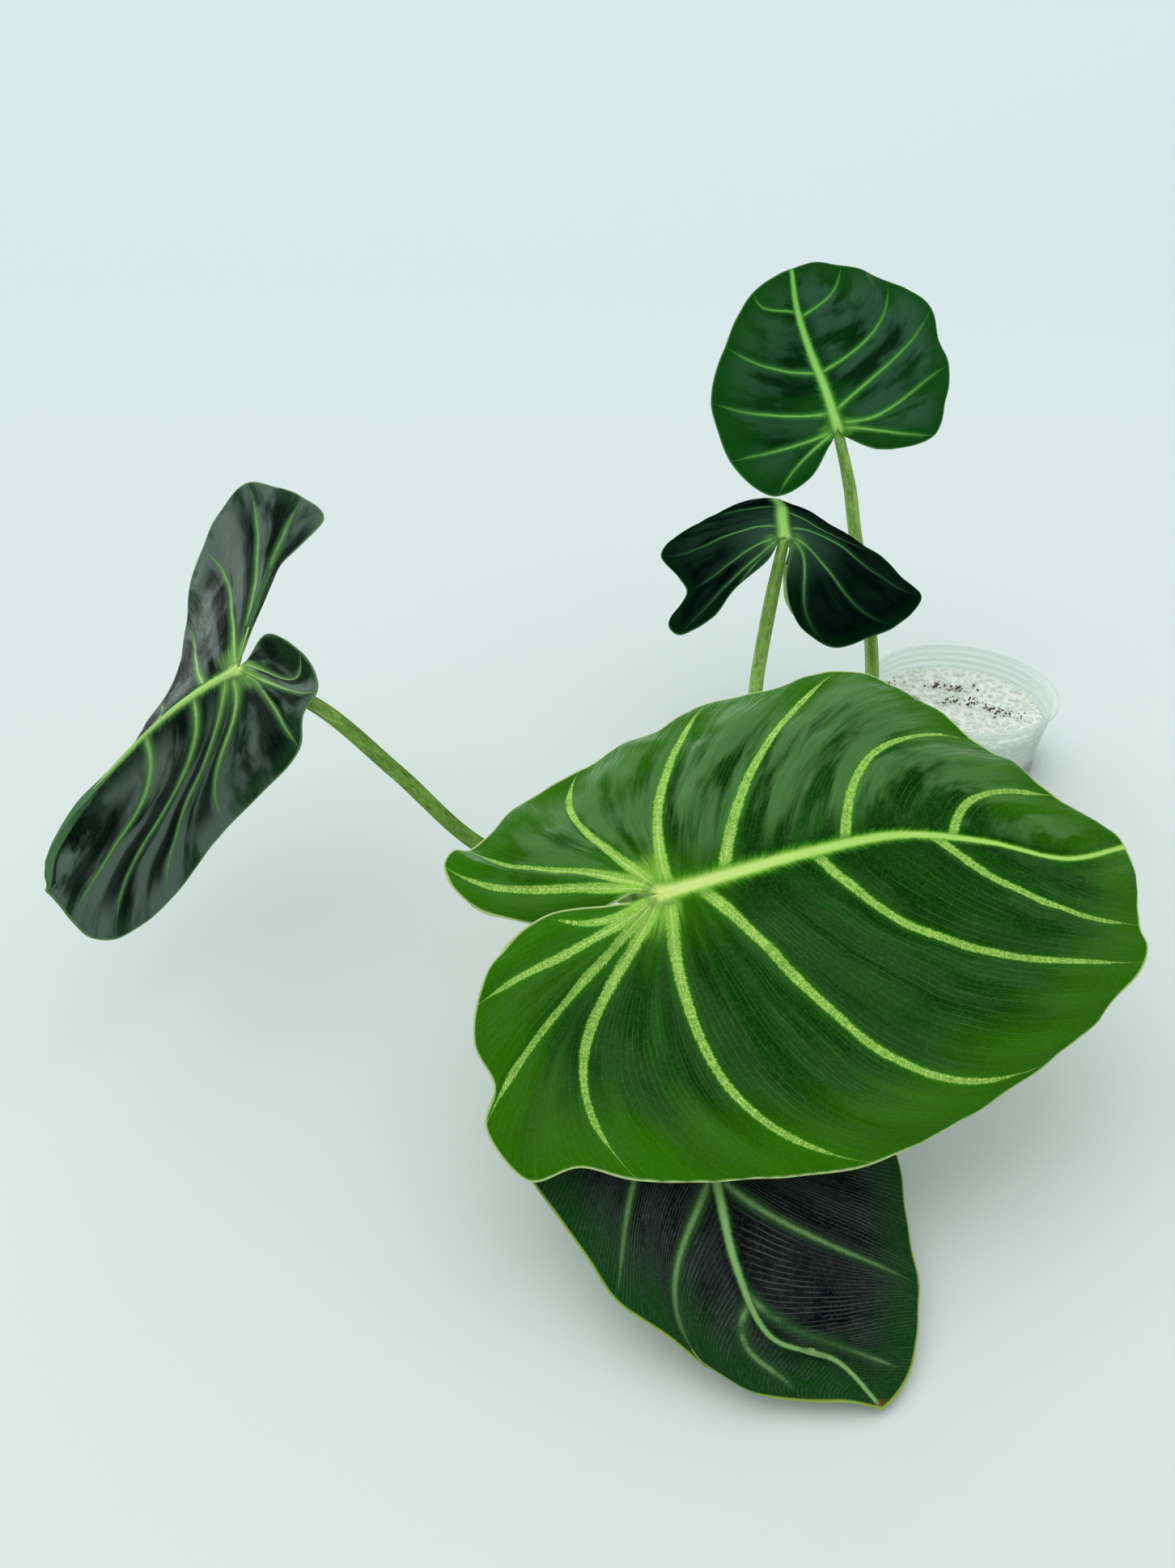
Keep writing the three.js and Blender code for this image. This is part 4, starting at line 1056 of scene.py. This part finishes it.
# Perlite: how many grains lie on top and at the wall, and the dark bits as x, y and how many
TOP_GRAINS = 760
WALL_GRAINS = 660
DARK_SPOTS = [
    (-34, 26, 12), (-7, 23, 24), (5, 18, 30), (9, 2, 22), (-4, 4, 18), (21, -8, 26), (30, -14, 14),
]
# Room that the grains leave round the middle of the stem
STEM_ROOM = 5.2


def ball(rounds):
    """A round lump's points and triangles: an octahedron whose edges are halved a few times."""
    points = [[1, 0, 0], [-1, 0, 0], [0, 1, 0], [0, -1, 0], [0, 0, 1], [0, 0, -1]]
    faces = [[0, 2, 4], [2, 1, 4], [1, 3, 4], [3, 0, 4], [2, 0, 5], [1, 2, 5], [3, 1, 5], [0, 3, 5]]
    points = [np.array(p, float) for p in points]
    for _ in range(rounds):
        known, finer = {}, []

        def middle(a, b):
            key = (min(a, b), max(a, b))
            if key not in known:
                points.append(unit(points[a] + points[b]))
                known[key] = len(points) - 1
            return known[key]

        for a, b, c in faces:
            ab, bc, ca = middle(a, b), middle(b, c), middle(c, a)
            finer += [[a, ab, ca], [ab, b, bc], [ca, bc, c], [ab, bc, ca]]
        faces = finer
    return np.array(points), faces


def grains(random, places, sizes, dark):
    """One body of angular grains at the places."""
    kinds = [ball(2), ball(1)]
    parts = []
    for place, size, flag in zip(places, sizes, dark):
        points, faces = kinds[flag]
        shape = size * random.uniform(0.55, 1.0, 3)
        facets = unit(random.normal(size=(7, 3)))
        cut = np.ones(len(points))
        for facet in facets:
            reach = points @ facet
            limit = random.uniform(0.55, 0.9)
            cut = np.where(reach * cut > limit, limit / np.maximum(reach, 1e-6), cut)
        spin = np.linalg.qr(random.normal(size=(3, 3)))[0]
        lump = (points * cut[:, None] * shape) @ spin.T + place
        parts.append((lump, faces, {"dark": float(flag), "shade": random.uniform(0, 1)}))
    return joined(parts)


def perlite():
    """Loose perlite up to the surface and against the clear wall, with dark bits in a band."""
    random = np.random.default_rng(17)
    places, sizes, dark = [], [], []

    def drop(radius, turn, z, size, flag):
        places.append(np.array([radius * math.cos(turn), radius * math.sin(turn), z]))
        sizes.append(size)
        dark.append(flag)

    limit = tub_radius(MIX_TOP) - TUB_WALL - 0.6
    for _ in range(TOP_GRAINS):
        size = random.uniform(1.3, 2.7)
        radius = (limit - size) * math.sqrt(random.uniform(0, 1))
        drop(radius, random.uniform(0, 2 * math.pi), MIX_TOP + random.uniform(-1.3, 0.6), size, 0)
    for _ in range(WALL_GRAINS):
        size = random.uniform(1.3, 2.4)
        z = random.uniform(TUB_BOTTOM + TUB_WALL + size, MIX_TOP)
        drop(tub_radius(z) - TUB_WALL - 0.4 - size, random.uniform(0, 2 * math.pi), z, size, 0)
    for x, y, count in DARK_SPOTS:
        for _ in range(count):
            px, py = x + random.normal(0, 4.5), y + random.normal(0, 3)
            if math.hypot(px, py) < limit - 3:
                drop(math.hypot(px, py), math.atan2(py, px), MIX_TOP + 1.4, random.uniform(0.4, 1.2), 1)
    stem_gap = [np.linalg.norm(p - STEM_CURVE.at(np.linspace(0, 0.2, 40)), axis=1).min() for p in places]
    kept = [k for k, gap in enumerate(stem_gap) if gap > STEM_ROOM]
    loose = grains(random, [places[k] for k in kept], [sizes[k] for k in kept], [dark[k] for k in kept])
    low = TUB_BOTTOM + TUB_WALL + 0.3
    packed = [[0, low], [tub_radius(low) - TUB_WALL - 2, low], [limit - 2, MIX_TOP - 0.6], [0, MIX_TOP - 0.6]]
    body, faces, values = joined([loose, (*turned(packed, 96), {"dark": 0.0, "shade": 1.0})])
    m = Shader("perlite_grain")
    pitted = m.noise(m.here(), 1500, 3, 0.6)
    white = m.mix(m.value("shade"), tone("ecfaee"), tone("fafffa"))
    white = m.mix(m.times(m.ramp(pitted, 0.55, 0.75), 0.25), white, tone("dfe8dc"))
    brown = m.mix(m.value("shade"), tone("28220f"), tone("7a6c3e"))
    m.set(Base_Color=m.mix(m.value("dark"), white, brown), Roughness=0.9)
    m.set(Normal=m.bump(pitted, 0.0003, 0.5))
    piece = build("perlite_loose", body, faces, m.material, "perlite", **values)
    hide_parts("perlite_mix")


# Floor, light and camera

# Metres from the middle of the floor to its sides
FLOOR_REACH = 90
# Strength of the backdrop and of the sky above it
BACKDROP = 2.2
ZENITH = 0.14
# Camera: focal length and film width in millimetres, place in metres, degrees down from level
LENS = 27.04
SENSOR = 36
EYE = (-0.236, -0.65, 0.411)
LOOKS_DOWN = 34
# Soft lamps: name, strength, width in degrees and turn in degrees
LAMPS = [
    ["key", 1.1, 90, (30, 0, -140)],
    ["fill", 1.25, 160, (15, 0, 30)],
]


def floor():
    """A pale floor that runs to the horizon, a little cooler far off."""
    m = Shader("pale_floor")
    far = m.ramp(m.axis("Y"), -0.4, 1.6)
    m.set(Base_Color=m.mix(far, tone("e6f3ee"), tone("e0eff0")), Roughness=0.9, Specular_IOR_Level=0.1)
    mesh = bpy.data.meshes.new("floor")
    square = [(x * FLOOR_REACH, y * FLOOR_REACH, 0) for x, y in ((-1, -1), (1, -1), (1, 1), (-1, 1))]
    mesh.from_pydata(square, [], [(0, 1, 2, 3)])
    mesh.materials.append(m.material)
    ground = linked("floor", mesh)
    ground.visible_glossy = False
    ground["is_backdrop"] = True


def light():
    """A bright backdrop low behind the plant and a darker sky, with soft light from above."""
    world = bpy.data.worlds.new("studio")
    bpy.context.scene.world = world
    world.use_nodes = True
    m = Shader("studio", world.node_tree)
    back = world.node_tree.nodes["Background"]
    way = m.node("ShaderNodeTexCoord")["Generated"]
    x, y, z = (m.axis(name, way) for name in "XYZ")
    low = m.times(m.ramp(z, 0.62, 0.2), m.ramp(z, -0.2, 0.05))
    shine = m.times(low, m.ramp(y, 0.1, 0.95, 0.12, 1.0), m.ramp(x, 0.15, 0.7, 1, 0.15))
    m.put(back.inputs["Color"], tone("f6fbff"))
    m.put(back.inputs["Strength"], m.plus(m.times(shine, BACKDROP), ZENITH))
    for name, energy, spread, turn in LAMPS:
        lamp = bpy.data.lights.new(name, "SUN")
        lamp.energy = energy
        lamp.angle = math.radians(spread)
        sun = linked(name, lamp)
        sun.rotation_euler = [math.radians(angle) for angle in turn]
        sun.visible_glossy = False


def camera():
    """The photo's camera, fitted to the tub's rim and the white sheet."""
    lens = bpy.data.cameras.new("camera")
    lens.lens = LENS
    lens.sensor_width = SENSOR
    lens.clip_end = 300
    eye = linked("camera", lens)
    eye.location = EYE
    eye.rotation_euler = (math.radians(90 - LOOKS_DOWN), 0, 0)
    bpy.context.scene.camera = eye


def ready(look):
    """A look as names, its sRGB codes turned into linear colours."""
    return SimpleNamespace(**{key: tone(v) if isinstance(v, str) else v for key, v in look.items()})


def corners(bounds):
    return [list(map(float, corner)) for corner in bounds]


bpy.context.scene.view_settings.view_transform = "Standard"
camera()
light()
floor()
saucer()
tub()
perlite()
stem()
PETIOLE_SKIN = petiole_material()
for leaf_name, leaf_data in LEAVES.items():
    blade(leaf_name, leaf_data, ready(LOOKS[leaf_name]))
    petiole(leaf_name, leaf_data, PETIOLE_SKIN)

{"cad": corners(CAD_BOUNDS), "visual": corners(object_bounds())}
